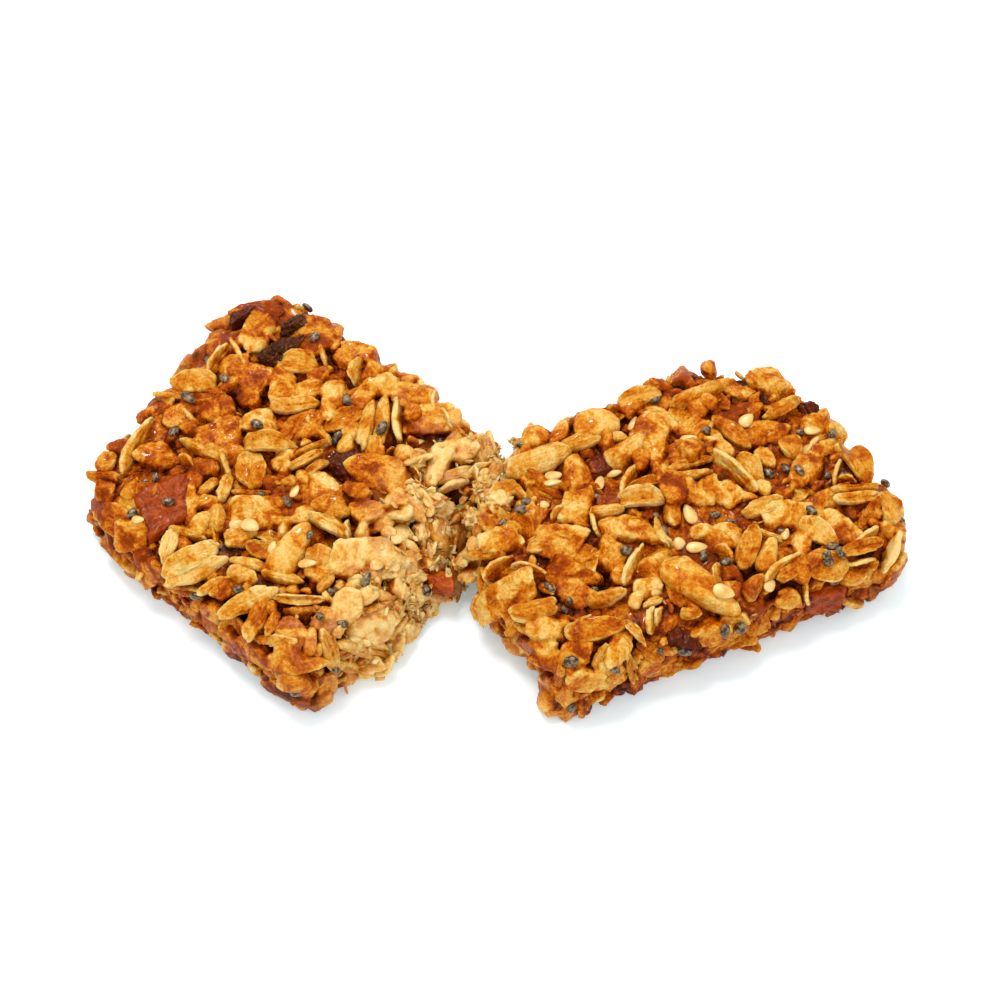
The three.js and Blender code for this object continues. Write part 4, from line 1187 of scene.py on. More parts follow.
# How sharply the surface folds at each point, per millimetre: above 0 on ridges and below 0 in seams.
def foldOf(points, normals, edges):
    run = points[edges[:, 1]] - points[edges[:, 0]]
    turn = ((normals[edges[:, 1]] - normals[edges[:, 0]]) * run).sum(axis=1)
    turn = turn / ((run * run).sum(axis=1) + 1e-9)
    count = np.bincount(edges.ravel(), minlength=len(points)) + 1e-9
    total = np.bincount(edges[:, 0], turn, len(points)) + np.bincount(edges[:, 1], turn, len(points))
    return total / count


# How much stuff stands in front of each point, from 0 in the open to about 1 in a deep crevice. The materials
# darken by it: painted shade, with darker syrup.
def crowding(solidPoints, points, normals, cell=0.6, reach=1.6, margin=6):
    low = solidPoints.min(axis=0) - margin
    shape = np.ceil((solidPoints.max(axis=0) + margin - low) / cell).astype(int)
    grid = np.zeros(shape, dtype=np.float32)
    index = ((solidPoints - low) / cell).astype(int)
    grid[index[:, 0], index[:, 1], index[:, 2]] = 1
    for axis in range(3):
        for turn in range(2):
            grid = (np.roll(grid, 1, axis) + grid + np.roll(grid, -1, axis)) / 3
    ahead = np.zeros(len(points))
    for far in (0.5, 1, 1.5):
        probe = ((points + normals * reach * far - low) / cell).astype(int)
        probe = np.clip(probe, 0, shape - 1)
        ahead += grid[probe[:, 0], probe[:, 1], probe[:, 2]]
    return ahead / 3


def ridges(points, scale, seed):
    offset = Vector((seed * 17.3, seed * 5.1, seed * 9.7))
    return np.array([noise.noise(Vector(point) * scale + offset) for point in points.tolist()])


def layered(points, layers):
    return sum(share * ridges(points, scale, seed) for share, scale, seed in layers)


def roughen(points, faces, torn, bed=0):
    normals = normalsOf(points, faces)
    relief = layered(points, fusing["relief"]) * fusing["roughness"] * (1 + 0.4 * torn)
    relief += bed * (0.8 + 0.7 * torn) * layered(points, fusing["bedRelief"])
    points = points + normals * relief[:, None]
    points[:, 2] = np.maximum(points[:, 2], 0)
    return points


# How far the points stand off the slab, in millimetres.
def riseOf(skin, points):
    rise = np.empty(len(points))
    for number, point in enumerate(points.tolist()):
        foot, facing, index, distance = skin.tree.find_nearest(point)
        rise[number] = (Vector(point) - foot).dot(facing)
    return rise


# How torn the surface is: 1 on the bare break face, fading to 0 on the baked skin behind it.
def tornnessOf(half, points):
    local = placeBack(half, points)
    edge = readTable(half["tornEdge"], local[:, 1])
    lean = readTable(half["tornLean"], local[:, 1]) * np.clip(local[:, 2] / bar["slabHeight"], 0, 1)
    bare = np.clip(bar["bareReach"] - (local[:, 0] - edge - lean) / half["tornDepth"], 0, 1)
    return bare * readTable(half["tornPale"], local[:, 1])


# Where the halves still cling together each reaches a little into the other.
def trimAtBreak(half, points):
    lean, heading = math.radians(bar["breakLean"]), math.radians(bar["breakHeading"] - 90)
    level = math.cos(lean)
    normal = np.array([level * math.cos(heading), level * math.sin(heading), math.sin(lean)])
    beyond = (points - np.array(bar["breakPoint"])) @ normal * half["side"] - bar["breakGap"] / 2
    return points + np.where(beyond < 0, -beyond, 0)[:, None] * normal * half["side"]


def toFrame(points):
    moved = points.copy()
    moved[:, 0] += bar["shift"][0]
    moved[:, 1] += bar["shift"][1]
    return np.clip(moved, np.array(cadBox[0]) * 1000, np.array(cadBox[1]) * 1000) / 1000


def srgb(red, green, blue):
    def linear(value):
        value /= 255
        return value / 12.92 if value <= 0.04045 else ((value + 0.055) / 1.055) ** 2.4
    return (linear(red), linear(green), linear(blue), 1)


class Nodes:
    def __init__(self, name):
        self.material = bpy.data.materials.new(name)
        self.material.use_nodes = True
        self.tree = self.material.node_tree
        self.tree.nodes.clear()
        self.coordinates = self.add("ShaderNodeTexCoord").outputs["Object"]

    def add(self, kind, **settings):
        node = self.tree.nodes.new(kind)
        for key, value in settings.items():
            setattr(node, key, value)
        return node

    def link(self, source, target):
        if isinstance(source, (int, float, tuple)):
            target.default_value = source
        else:
            self.tree.links.new(source, target)

    def attribute(self, name, output="Fac"):
        return self.add("ShaderNodeAttribute", attribute_name=name).outputs[output]

    def math(self, operation, a, b, clamp=False, smooth=None):
        node = self.add("ShaderNodeMath", operation=operation, use_clamp=clamp)
        self.link(a, node.inputs[0])
        self.link(b, node.inputs[1])
        if smooth:
            node.inputs[2].default_value = smooth
        return node.outputs[0]

    def total(self, *values):
        result = values[0]
        for value in values[1:]:
            result = self.math("ADD", result, value)
        return result

    def noise(self, scale, detail, roughness=0.55, vector=None, distortion=0.0):
        node = self.add("ShaderNodeTexNoise")
        self.link(vector or self.coordinates, node.inputs["Vector"])
        node.inputs["Scale"].default_value = scale
        node.inputs["Detail"].default_value = detail
        node.inputs["Roughness"].default_value = roughness
        node.inputs["Distortion"].default_value = distortion
        return node.outputs["Fac"]

    def grains(self, scale):
        node = self.add("ShaderNodeTexVoronoi")
        self.link(self.coordinates, node.inputs["Vector"])
        node.inputs["Scale"].default_value = scale
        node.inputs["Detail"].default_value = 2
        return node.outputs["Distance"]

    def spread(self, value, low, high, to=(0, 1)):
        node = self.add("ShaderNodeMapRange", clamp=True)
        self.link(value, node.inputs["Value"])
        for key, number in zip(("From Min", "From Max", "To Min", "To Max"), (low, high, *to)):
            node.inputs[key].default_value = number
        return node.outputs["Result"]

    def ramp(self, value, stops):
        node = self.add("ShaderNodeValToRGB")
        elements = node.color_ramp.elements
        while len(elements) < len(stops):
            elements.new(0.5)
        for element, (position, colour) in zip(elements, stops):
            element.position = position
            element.color = colour
        self.link(value, node.inputs["Fac"])
        return node.outputs["Color"]

    def mix(self, share, a, b):
        node = self.add("ShaderNodeMix", data_type="RGBA")
        self.link(share, node.inputs[0])
        self.link(a, node.inputs[6])  # the colours
        self.link(b, node.inputs[7])
        return node.outputs[2]

    def bump(self, height, distance, strength=1.0):
        node = self.add("ShaderNodeBump")
        node.inputs["Distance"].default_value = distance
        node.inputs["Strength"].default_value = strength
        self.link(height, node.inputs["Height"])
        return node.outputs["Normal"]

    def finish(self, colour, roughness, normal, **sockets):
        shader = self.add("ShaderNodeBsdfPrincipled")
        self.link(colour, shader.inputs["Base Color"])
        self.link(roughness, shader.inputs["Roughness"])
        self.link(normal, shader.inputs["Normal"])
        for key, value in sockets.items():
            shader.inputs[key.replace("_", " ")].default_value = value
        output = self.add("ShaderNodeOutputMaterial")
        self.tree.links.new(shader.outputs["BSDF"], output.inputs["Surface"])
        return self.material


baked = {
    "darker": 0.21,  # added to every tone
    "fibres": (0.35, 3.4, 7.3),  # long, and a fresh pattern for each piece
    "colours": [
        (0.00, srgb(229, 198, 128)),
        (0.13, srgb(223, 180, 96)),
        (0.30, srgb(212, 149, 48)),
        (0.46, srgb(198, 115, 12)),
        (0.62, srgb(174, 80, 4)),
        (0.78, srgb(142, 52, 2)),
        (0.90, srgb(102, 33, 2)),
        (1.00, srgb(66, 20, 3)),
    ],
    "crumbColours": [
        (0.44, srgb(250, 228, 174)),
        (0.66, srgb(236, 188, 110)),
        (0.76, srgb(200, 126, 44)),
        (0.98, srgb(120, 52, 12)),
    ],
}


# Baked nut, oat and crumb under syrup: each piece has its own tone, stained in patches; painted shade in
# seams.
def bakedMaterial(name, grain, stain, gloss):
    nodes = Nodes(name)
    tone, torn, fold, crevice, deep = (
        nodes.attribute(label) for label in ("tone", "torn", "fold", "crevice", "deep")
    )
    stretch = nodes.add("ShaderNodeVectorMath", operation="MULTIPLY")
    nodes.link(nodes.attribute("local", "Vector"), stretch.inputs[0])
    stretch.inputs[1].default_value = baked["fibres"]
    fibre = nodes.math("SUBTRACT", nodes.noise(1.0, 3, 0.6, stretch.outputs[0]), 0.5)
    fibre = nodes.math("MULTIPLY", fibre, nodes.attribute("grain"))
    split = nodes.add("ShaderNodeSeparateXYZ")
    nodes.link(nodes.coordinates, split.inputs[0])
    patches = nodes.noise(250, 5, 0.62, distortion=0.9)
    patches = nodes.spread(patches, 0.42, 0.62, (-0.7 * stain, 0.95 * stain))
    spots = nodes.spread(nodes.noise(850, 5, 0.7, distortion=0.5), 0.42, 0.66, (-0.06, 0.6 * stain))
    grains = nodes.math("MULTIPLY", nodes.spread(nodes.grains(640), 0.1, 0.75), nodes.attribute("bed"))
    # darker where the surface lies low on the slab and lighter where it stands off it
    lowDarkening = nodes.spread(nodes.attribute("rise"), 0.1, 2.0, (0.06, -0.04))
    stained = nodes.total(
        nodes.math("ADD", tone, baked["darker"]),
        patches,
        spots,
        nodes.spread(nodes.noise(2400, 4, 0.65), 0.35, 0.65, (-0.11, 0.11)),
        nodes.spread(fibre, -0.2, 0.2, (-grain, grain)),
        nodes.math("MULTIPLY", lowDarkening, nodes.spread(torn, 0, 1, (1, 0.3))),
        nodes.math("MULTIPLY", grains, 0.26),
    )
    shade = nodes.total(
        nodes.math("SMOOTH_MIN", stained, 0.88, smooth=0.14),
        # painted shade, with darker syrup, where other pieces crowd in front of the surface
        nodes.spread(crevice, 0.12, 0.72, (-0.05, 0.215)),
        nodes.spread(split.outputs["Z"], 0.001, 0.009, (0.17, 0)),  # darker towards the table
        # painted shade in the seams
        nodes.spread(fold, -1, 0, (0.28, 0)),
        # painted highlight on the ridges
        nodes.spread(fold, 0.1, 1, (0, -0.2)),
        # the flakes' thin rims paler, partly their own colour and partly a painted highlight
        nodes.spread(nodes.attribute("rim"), 0.84, 0.97, (0, -0.24)),
        # painted shade at the bottom of the hollows
        nodes.spread(deep, 0.1, 0.9, (0, 0.45)),
    )
    shade = nodes.math("SUBTRACT", shade, nodes.math("MULTIPLY", torn, 0.16), clamp=True)
    bare = nodes.total(
        nodes.noise(700, 5, 0.7),
        # painted shade in the crumb's crevices
        nodes.math("MULTIPLY", crevice, 0.6),
        nodes.math("MULTIPLY", tone, 0.2),
        # painted shade in the crumb's seams
        nodes.spread(fold, -1, 0, (0.4, 0)),
        # painted shade in the hollows
        nodes.spread(deep, 0.1, 0.9, (0, 0.5)),
    )
    skin, crumb = nodes.ramp(shade, baked["colours"]), nodes.ramp(bare, baked["crumbColours"])
    rough = nodes.spread(nodes.noise(300, 3), 0.38, 0.62, gloss)
    relief = nodes.total(
        nodes.noise(700, 6, 0.7),
        nodes.math("MULTIPLY", fibre, 0.8),
        nodes.math("MULTIPLY", spots, 0.6),
        nodes.math("MULTIPLY", grains, -1.2),
    )
    return nodes.finish(
        nodes.mix(nodes.math("MULTIPLY", torn, 0.7), skin, crumb),
        nodes.math("ADD", rough, nodes.math("MULTIPLY", torn, 0.25)),
        nodes.bump(relief, 0.00042),
        Subsurface_Weight=0.3, Subsurface_Radius=(0.0018, 0.0008, 0.0002), Subsurface_Scale=0.6,
        Specular_IOR_Level=0.1, Specular_Tint=(1, 0.6, 0.2, 1), Coat_Weight=0.05, Coat_Roughness=0.09,
    )


def seedMaterial(name, light, dark, scale, bumpDepth, roughness, band=(0.36, 0.64)):
    nodes = Nodes(name)
    mottle = nodes.noise(scale, 4, 0.6, distortion=0.5)
    return nodes.finish(
        nodes.ramp(mottle, [(band[0], light), (band[1], dark)]),
        roughness,
        nodes.bump(mottle, bumpDepth, 0.8),
        Subsurface_Weight=0.08, Subsurface_Radius=(0.0008, 0.0005, 0.0003), Subsurface_Scale=0.5,
        Specular_Tint=(1, 0.78, 0.5, 1), Coat_Weight=0.03, Coat_Roughness=0.25,
    )


def fruitMaterial(name, deep, bright, clear, gloss, band=(0.3, 0.62)):
    nodes = Nodes(name)
    blotch = nodes.math("ADD", nodes.noise(380, 4, 0.6, distortion=0.8), nodes.attribute("tone"))
    return nodes.finish(
        nodes.ramp(blotch, [(band[0], deep), (band[1], bright), (1, clear)]),
        nodes.spread(nodes.noise(600, 3), 0.3, 0.7, gloss),
        nodes.bump(nodes.noise(1000, 5, 0.65, distortion=0.4), 0.00022, 0.9),
        Subsurface_Weight=0.03, Subsurface_Radius=(0.0012, 0.0004, 0.0003), Subsurface_Scale=0.4,
        Specular_IOR_Level=0.18, Specular_Tint=(1, 0.55, 0.25, 1), Coat_Weight=0.04, Coat_Roughness=0.1,
    )


crustMaterial = bakedMaterial("baked crust", 0.05, 0.3, (0.22, 0.46))
oatMaterial = bakedMaterial("toasted oat", 0.06, 0.22, (0.28, 0.5))
sesameMaterial = seedMaterial("sesame", srgb(230, 198, 132), srgb(206, 158, 78), 620, 0.00008, 0.36)
chiaMaterial = seedMaterial("chia", srgb(128, 106, 82), srgb(34, 23, 15), 1900, 0.00014, 0.3, (0.44, 0.54))
fruitMaterials = {
    kind: fruitMaterial(kind, *look) for kind, *look in (
        ("cranberry", srgb(34, 8, 4), srgb(92, 26, 8), srgb(176, 76, 18), (0.18, 0.42)),
        ("raisin", srgb(24, 9, 4), srgb(84, 38, 14), srgb(130, 72, 28), (0.22, 0.45)),
        ("date", srgb(104, 24, 2), srgb(158, 60, 6), srgb(214, 116, 26), (0.24, 0.44), (0.36, 0.6)),
    )
}


def dress(piece, material, replaced=()):
    piece.data.materials.append(material)
    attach(piece, "root")
    if replaced:
        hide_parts(*replaced)


fruitLook = {
    "cranberry": {"cuts": 7, "power": 7, "wrinkle": 0.13, "scale": 0.8, "sunk": 0.7},
    "raisin": {"cuts": 9, "power": 6, "wrinkle": 0.26, "scale": 1.3, "sunk": 0.6},
    "date": {"cuts": 2, "power": 14, "wrinkle": 0.07, "scale": 0.8, "sunk": 0.5},
}
# How much clearer and how much deeper in some of the fruits are.
fruitClear = {"cranberry_middle": 0.25, "cranberry_upper": 0.12, "cranberry_large": 0.04, "date_bit_low": 0.1}
fruitDeeper = {
    "cranberry_tip": -1.4,
    "cranberry_corner": -0.7,
    "cranberry_centre": -0.3,
    "raisin_ridge": -1.6,
    "raisin_back": -1.1,
    "date_cube": -1.2,
    "date_side": 0.2,
}

# Torn bits of fruit in the break: half, place, size and turn.
fruitBits = {
    "date_bit_low": ("left", (-3.6, -3.0, 6), (3.8, 3.2, 2.8), 30),
    "date_bit_mid": ("left", (-0.2, -1.9, 7), (2.4, 1.8, 1.6), 10),
    "cranberry_bit_seam": ("left", (4.0, -15.0, 9), (2.6, 2.0, 1.6), 60),
    "cranberry_bit_corner": ("left", (-0.6, 20.7, 4.5), (4.6, 3.6, 3.0), 20),
}


def foldsIn(lump, scale, seed):
    return 0.5 - np.abs(ridges(lump, scale, seed)) * 2.2


def fruitMesh(label, skin, where, spot, size, turn):
    kind = label.split("_")[0]
    look = fruitLook[kind]
    seed = sum(ord(letter) for letter in label) % 97
    shape, faces, rim = chunkShape(300 + seed, 6, look["cuts"], look["power"])
    lump = shape * np.array(size) * 1.06
    folds = foldsIn(lump, look["scale"], seed) + 0.4 * foldsIn(lump, look["scale"] * 2.4, seed + 3)
    lump = lump * (1 + look["wrinkle"] * folds)[:, None]
    rotation = np.array(Matrix.Rotation(math.radians(turn + halves[where]["heading"]), 3, "Z"))
    centre = place(halves[where], spot)
    foot, normal = skin.nearest(centre)
    sunk = look["sunk"] + fruitDeeper.get(label, 0) + 0.8 * (1 - abs(normal.z))
    centre = np.array(centre - normal * sunk)
    clear = np.full(len(lump), fruitClear.get(label, 0))
    return lump @ rotation.T + centre, faces, clear


def addFruit(label, design):
    lump, faces, clear = fruitMesh(label, skins[design[0]], *design)
    kind = label.split("_")[0]
    piece = writeMesh(label, toFrame(lump), faces, {"tone": clear})
    dress(piece, fruitMaterials[kind], [label] if label in fruits else ())


toneRanges = {  # how dark each kind of piece is baked, from 0 pale to 1 dark
    "nut": (0.15, 0.58),
    "flake": (0.16, 0.55),
    "shred": (0.2, 0.6),
    "oat": (0.16, 0.55),
    "kernel": (0.15, 0.5),
    "chip": (0.2, 0.66),
    "sliver": (0.15, 0.5),
    "curl": (0.15, 0.5),
    "bit": (0.08, 0.4),
    "grit": (0.2, 0.62),
    "crumb": (0.05, 0.35),
    "lump": (0.05, 0.4),
    "scale": (0.05, 0.35),
}


# The end away from the break is baked darker.
def endTone(half, centre):
    along = placeBack(half, np.array([centre]))[0, 0]
    return half["bakedEnd"] * min(max((along - bar["bakedFrom"]) / bar["bakedOver"], 0), 1)


def bodyItems(half, laid):
    rng = np.random.default_rng(half["seed"] + 500)
    fusedItems, crispItems = [], []
    for number, piece in enumerate(laid):
        kind = piece["kind"]
        rotation, centre = seatOf(piece)
        low, high = toneRanges.get(kind, (0, 1))
        drawn = low + (high - low) * rng.uniform()
        variant = shapes[kind][rng.integers(len(shapes[kind]))]
        if kind == "sesame" or piece.get("gone"):  # seeds are added later, on the finished surface
            continue
        item = {
            "shape": variant,
            "size": piece["size"],
            "rotation": rotation,
            "centre": centre,
            "number": number,
            "tone": (drawn if piece["tone"] is None else piece["tone"]) + endTone(half, centre),
            "torn": piece["torn"],
            "thin": kind in thinKinds,
        }
        crisp = kind in crispKinds or (kind == "flake" and number % 2) or (kind == "scale" and number % 3)
        (crispItems if crisp else fusedItems).append(item)
    return fusedItems, sorted(crispItems, key=lambda item: not item["thin"])


# The weights of three corners at points between them.
def barycentric(points, a, b, c):
    def dot(one, other):
        return (one * other).sum(axis=1)

    first, second, away = b - a, c - a, points - a
    wide, mixed, high = dot(first, first), dot(first, second), dot(second, second)
    alongFirst, alongSecond = dot(away, first), dot(away, second)
    scale = wide * high - mixed * mixed
    scale = np.where(np.abs(scale) < 1e-12, 1, scale)
    toFirst = np.clip((high * alongFirst - mixed * alongSecond) / scale, 0, 1)
    toSecond = np.clip((wide * alongSecond - mixed * alongFirst) / scale, 0, 1)
    return np.stack([np.clip(1 - toFirst - toSecond, 0, 1), toFirst, toSecond], axis=1)


# What the values are at the nearest spots of a mesh to other points.
def carried(points, faces, values, onto):
    tree = BVHTree.FromPolygons(points.tolist(), faces.tolist())
    hits = [tree.find_nearest(point) for point in onto.tolist()]
    feet = np.array([hit[0][:] for hit in hits])
    struck = faces[np.array([hit[2] for hit in hits])]
    weights = barycentric(feet, *(points[struck[:, k]] for k in range(3)))
    result = {}
    for key, data in values.items():
        shares = weights if data.ndim == 1 else weights[:, :, None]
        result[key] = (data[struck] * shares).sum(axis=1)
    return result


# Pushes the bed in at the hollows, and keeps how deep each spot lies, which the materials paint as shade.
def sinkHollows(skin, points, bed):
    deep = np.zeros(len(points))
    moved = points.copy()
    for centre, radius, depth in skin.hollows:
        foot, normal = skin.nearest(centre)
        away = np.linalg.norm(points - np.array(centre), axis=1)
        share = np.exp(-(away / radius) ** 2) * bed * min(depth, 1)
        moved -= np.array(normal) * depth * share[:, None]
        deep = np.maximum(deep, share)
    return moved, deep


# The slab that fills up between the pieces, drawn in on its walls and where it is torn.
def bedOf(skin):
    points = np.array([
        point + normal * (bar["bed"] * max(normal.z, 0) ** 3 - bar["bedInset"] * (1 - abs(normal.z))
                          - sinkTowards(skin.half, normal))
        for point, normal in zip(skin.points, skin.normals)
    ])
    bare = tornnessOf(skin.half, np.array(skin.points))[:, None]
    points -= np.array(skin.normals) * bar["bedTorn"] * bare
    none = np.zeros(len(points))
    values = {"local": points, "tone": none + bar["bedTone"], "bed": none + 1}
    return points, np.array(skin.triangles), {**values, "torn": none, "rim": none, "grain": none}


# Grows the pieces and the bed into one surface, which keeps what each spot of them was.
def crustOf(skin, items):
    points, faces, values = joinShapes(items)
    bedPoints, bedFaces, bedValues = bedOf(skin)
    points, faces = stacked([(points, faces), (bedPoints, bedFaces)])
    points[:, 2] = np.maximum(points[:, 2], 0)
    values = {key: np.concatenate([values[key], bedValues[key]]) for key in values}
    crust, crustFaces = fuse(points, faces)
    here = carried(points, faces, values, crust)
    bare = tornnessOf(skin.half, crust)
    here["torn"] = np.maximum(here["torn"], bare * (0.6 - 0.3 * here["bed"]))
    here["tone"] += 0.12 * here["bed"] * bare
    crust, here["deep"] = sinkHollows(skin, crust, here["bed"])
    crust = roughen(crust, crustFaces, here["torn"], here["bed"])
    return trimAtBreak(skin.half, crust), crustFaces, here


def buildHalf(name, half):
    balls = [
        (place(half, spot), (size[0] + size[1]) / bar["fruitRoom"])
        for where, spot, size, turn in fruits.values() if where == name
    ]
    skin, laid, prints = layPieces(half, balls)
    fusedItems, crispItems = bodyItems(half, laid)
    report(f"{name}: {len(fusedItems)} pieces to fuse and {len(crispItems)} whole")

    fused, faces, here = crustOf(skin, fusedItems)
    normals = normalsOf(fused, faces)
    edges = edgesOf(faces)
    here["fold"] = np.clip(spreadOut(foldOf(fused, normals, edges), edges, 2) * 0.55, -1, 1)

    crisp, crispFaces, crispHere = joinShapes(crispItems)
    crisp = roughen(crisp, crispFaces, crispHere["torn"])
    crispNormals = normalsOf(crisp, crispFaces)
    everything, everyFace = stacked([(fused, faces), (crisp, crispFaces)])
    here["crevice"] = spreadOut(crowding(everything, fused, normals), edges, 1)
    here["rise"] = riseOf(skin, fused)
    crispHere["rise"] = riseOf(skin, crisp)
    crispHere["crevice"] = crowding(everything, crisp, crispNormals) * 0.85
    crispHere["torn"] = np.maximum(crispHere["torn"], tornnessOf(half, crisp) * 0.5)
    crispHere["fold"] = crispHere["deep"] = np.zeros(len(crisp))

    dress(writeMesh(f"crust_{name}", toFrame(fused), faces, here), crustMaterial, [f"half_{name}"])
    report(f"{name}: {len(faces)} triangles in the crust")
    split = sum(len(item["shape"][0]) for item in crispItems if item["thin"])
    thin = crispFaces[:, 0] < split
    for label, chosen, first, last in (("oats", thin, 0, split), ("kernels", ~thin, split, len(crisp))):
        values = {key: data[first:last] for key, data in crispHere.items()}
        loose = writeMesh(f"{label}_{name}", toFrame(crisp[first:last]), crispFaces[chosen] - first, values)
        dress(loose, oatMaterial)
        report(f"{name}: {chosen.sum()} triangles in the {label}")

    lumps = [fruitMesh(label, skin, *design)[:2] for label, design in fruits.items() if design[0] == name]
    dressed, dressedFaces = stacked([(everything, everyFace), *lumps])
    return {
        "skin": skin,
        "points": everything,
        "normals": np.concatenate([normals, crispNormals]),
        "crevice": np.concatenate([here["crevice"], crispHere["crevice"]]),
        "surface": BVHTree.FromPolygons(dressed.tolist(), dressedFaces.tolist()),
        "prints": prints,
    }


seedRules = {
    "sesame": {"thick": 0.5, "sunk": 0.12, "extra": 12, "size": (3.0, 1.8), "spacing": 6},
    "chia": {"thick": 0.8, "sunk": 0.2, "extra": 22, "size": (2.0, 1.3), "spacing": 5},
}
crumbs = {"count": 5600, "size": (1.5, 0.95, 0.4), "shred": (2.8, 0.7, 0.3), "fullWeight": 100000}


def frameAround(normal, yaw):
    stand = Vector((0, 0, 1)).rotation_difference(Vector(normal))
    return np.array((stand @ Quaternion(Vector((0, 0, 1)), yaw)).to_matrix())


# Drops a point onto the dressed surface, along the slab's own normal.
def settle(built, point):
    foot, normal = built["skin"].nearest(point)
    hit = built["surface"].ray_cast(foot + normal * 8, -normal)
    if hit[0] is None:
        return None
    facing = hit[1] if hit[1].dot(normal) > 0.2 else normal
    return hit[0], (facing + normal * 0.6).normalized()


def seedItem(kind, point, normal, length, width, yaw, number):
    rule = seedRules[kind]
    thickness = width * rule["thick"]
    return {
        "shape": shapes[kind][0],
        "size": (length, width, thickness),
        "rotation": frameAround(normal, yaw),
        "centre": np.array(point + normal * thickness * (0.5 - rule["sunk"])),
        "number": number,
        "tone": 0.3,
        "torn": 0,
        "thin": False,
    }


def addSeeds(name, half, built):
    skin = built["skin"]
    random = makeRandom(half["seed"] + 90)
    for kind, material in (("sesame", sesameMaterial), ("chia", chiaMaterial)):
        rule = seedRules[kind]
        items, taken = [], []
        for x, y, *drawn in showSeeds[name][kind]:
            seen, spot = skin.seenSpot(x, y)
            length, width, yaw = skin.seenSize(seen, *drawn)
            taken.append(spot)
            rest = settle(built, spot)
            if rest:
                items.append(seedItem(kind, *rest, length, width, math.radians(yaw), len(items)))
        enough = len(items) + rule["extra"]
        for attempt in range(600):
            if len(items) == enough:
                break
            point, normal = skin.draw(random)
            shown = normal.z > 0.5 or normal.y < -0.1  # the sides that the camera sees have theirs already
            near = any((spot - point).length < rule["spacing"] for spot in taken)
            if normal.z < -0.2 or shown or near:
                continue
            rest = settle(built, point)
            if rest:
                taken.append(point)
                grown = 0.85 + 0.3 * random()
                size = [length * grown for length in rule["size"]]
                items.append(seedItem(kind, *rest, *size, random() * 6.28, len(items)))
        points, faces, values = joinShapes(items)
        piece = writeMesh(f"{kind}_{name}", toFrame(points), faces, {})
        dress(piece, material)


def addCrumbs(name, half, built):
    rng = np.random.default_rng(half["seed"] + 900)
    points, normals = built["points"], built["normals"]
    bare = tornnessOf(half, points)
    weights = (points[:, 2] > 0.8) * (0.01 + 2.5 * bare ** 2 + 0.1 * np.clip(built["crevice"] - 0.2, 0, 1))
    count = int(crumbs["count"] * min(weights.sum() / crumbs["fullWeight"], 1))
    picks = rng.choice(len(points), size=count, p=weights / weights.sum())
    items = []
    for number, pick in enumerate(picks):
        point, normal = points[pick], normals[pick]
        if number % 8 and underPrint(built["prints"], point, 0.2):
            continue
        size = np.array(crumbs["size"]) * rng.uniform(0.45, 1.5) * rng.uniform(0.7, 1.3, 3)
        if number % 7 == 0:
            size = np.array(crumbs["shred"]) * rng.uniform(0.6, 1.4)
        wobble = normal + rng.normal(0, 0.6, 3)
        items.append({
            "shape": shapes["shard"][rng.integers(len(shapes["shard"]))],
            "size": size,
            "rotation": frameAround(wobble / np.linalg.norm(wobble), rng.uniform(0, 6.28)),
            "centre": point + normal * size[2] * 0.5,
            "number": len(items),
            "tone": rng.uniform(-0.2, 0.4) + 0.15 * (1 - bare[pick]),
            "torn": bare[pick] * rng.uniform(0.2, 1),
            "thin": False,
        })
    points, faces, values = joinShapes(items)
    points[:, 2] = np.maximum(points[:, 2], 0.02)
    # an even touch of the same painted shade on every crumb
    values["crevice"] = np.full(len(points), 0.15)
    values["fold"] = values["deep"] = np.zeros(len(points))
    values["rise"] = np.full(len(points), 1.0)
    piece = writeMesh(f"crumbs_{name}", toFrame(points), faces, values, smooth=False)
    dress(piece, oatMaterial)
    report(f"{name}: seeds and {count} crumbs of weight {weights.sum():.0f}")


studio = {
    "sky": 0.94,
    "glow": 0.2,
    "lamps": {  # place, size and power; the spark is small and behind, for the glints in the syrup
        "key": ((-0.12, 0.12, 0.62), 0.24, 2.35),
        "fill": ((0.25, -0.5, 0.5), 0.4, 0.7),
        "spark": ((-0.03, 0.34, 0.5), 0.03, 2.8),
    },
    "paper": [(0.0, (0.86, 0.94, 0.98, 1)), (1.0, (0.87, 0.95, 0.99, 1))],
}


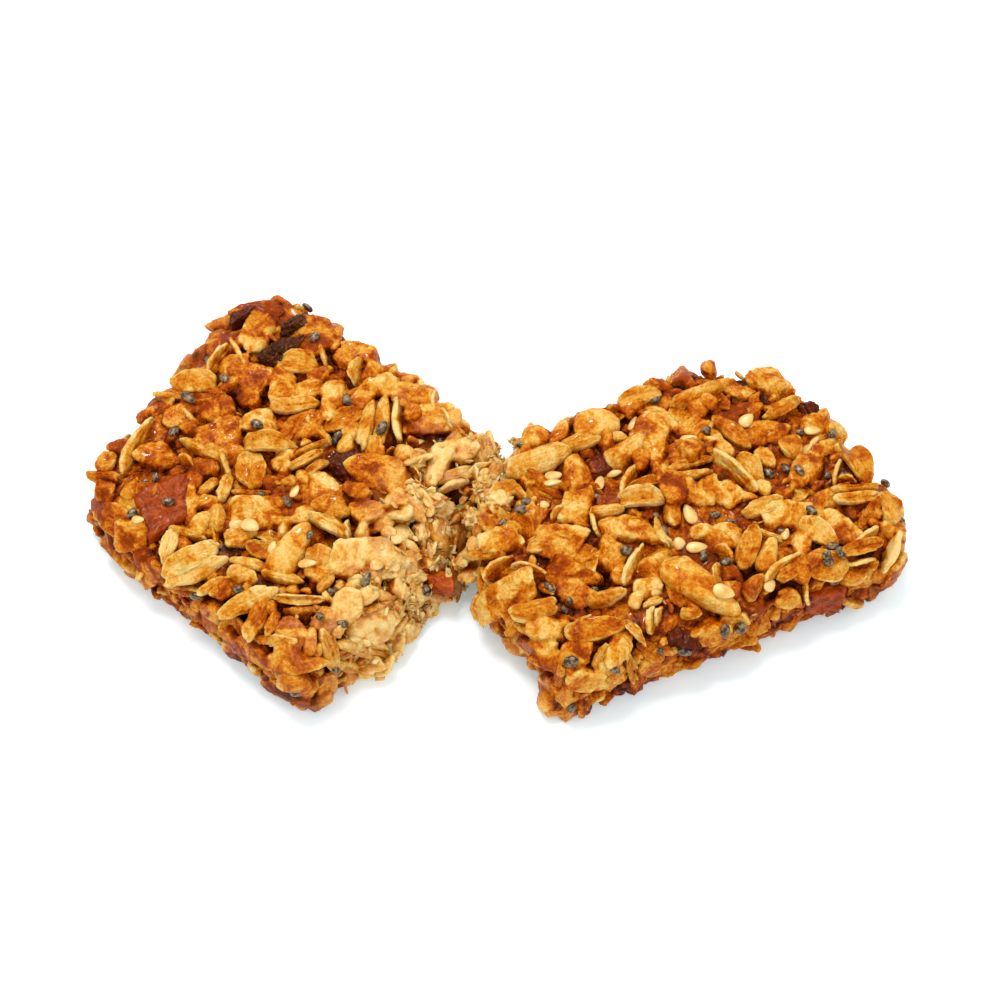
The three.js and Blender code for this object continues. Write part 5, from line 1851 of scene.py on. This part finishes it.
def addCamera():
    data = bpy.data.cameras.new("camera")
    data.lens = view["lens"]
    data.sensor_width = view["sensor"]
    data.shift_y = view["shiftY"]
    data.clip_start = 0.01
    camera = bpy.data.objects.new("camera", data)
    bpy.context.collection.objects.link(camera)
    camera.location = (Vector(cameraAxes()[0]) + Vector((*bar["shift"], 0))) / 1000
    camera.rotation_euler = (math.radians(90 - view["elevation"]), 0, 0)
    bpy.context.scene.camera = camera


def addLight(name, spot, size, power):
    data = bpy.data.lights.new(name, "AREA")
    data.shape = "DISK"
    data.size = size
    data.energy = power
    light = bpy.data.objects.new(name, data)
    bpy.context.collection.objects.link(light)
    light.location = spot
    light.visible_diffuse = name != "spark"
    light.rotation_euler = (Vector((0, 0, 0.005)) - Vector(spot)).to_track_quat("-Z", "Y").to_euler()


def addFloor():
    bm = bmesh.new()
    bmesh.ops.create_grid(bm, x_segments=1, y_segments=1, size=1.5)
    mesh = bpy.data.meshes.new("floor")
    bm.to_mesh(mesh)
    bm.free()
    floor = bpy.data.objects.new("floor", mesh)
    bpy.context.collection.objects.link(floor)
    nodes = Nodes("white paper")
    floor.data.materials.append(nodes.finish(
        nodes.ramp(nodes.noise(30, 2), studio["paper"]),
        0.9,
        nodes.bump(nodes.noise(800, 2), 0.00001),
        Specular_IOR_Level=0.1, Emission_Color=(0.8, 1, 1, 1), Emission_Strength=studio["glow"],
    ))


def addStudio():
    world = bpy.data.worlds.new("world")
    bpy.context.scene.world = world
    world.use_nodes = True
    sky = world.node_tree.nodes["Background"]
    sky.inputs["Color"].default_value = (1, 1, 1, 1)
    sky.inputs["Strength"].default_value = studio["sky"]
    for name, lamp in studio["lamps"].items():
        addLight(name, *lamp)
    bpy.context.scene.view_settings.view_transform = "Standard"
    bpy.context.scene.view_settings.look = "None"


addCamera()
addStudio()
addFloor()
skins = {}
for name, half in halves.items():
    half["name"] = name
    built = buildHalf(name, half)
    skins[name] = built["skin"]
    addSeeds(name, half, built)
    addCrumbs(name, half, built)
for label, design in {**fruits, **fruitBits}.items():
    addFruit(label, design)
report("dried fruit")
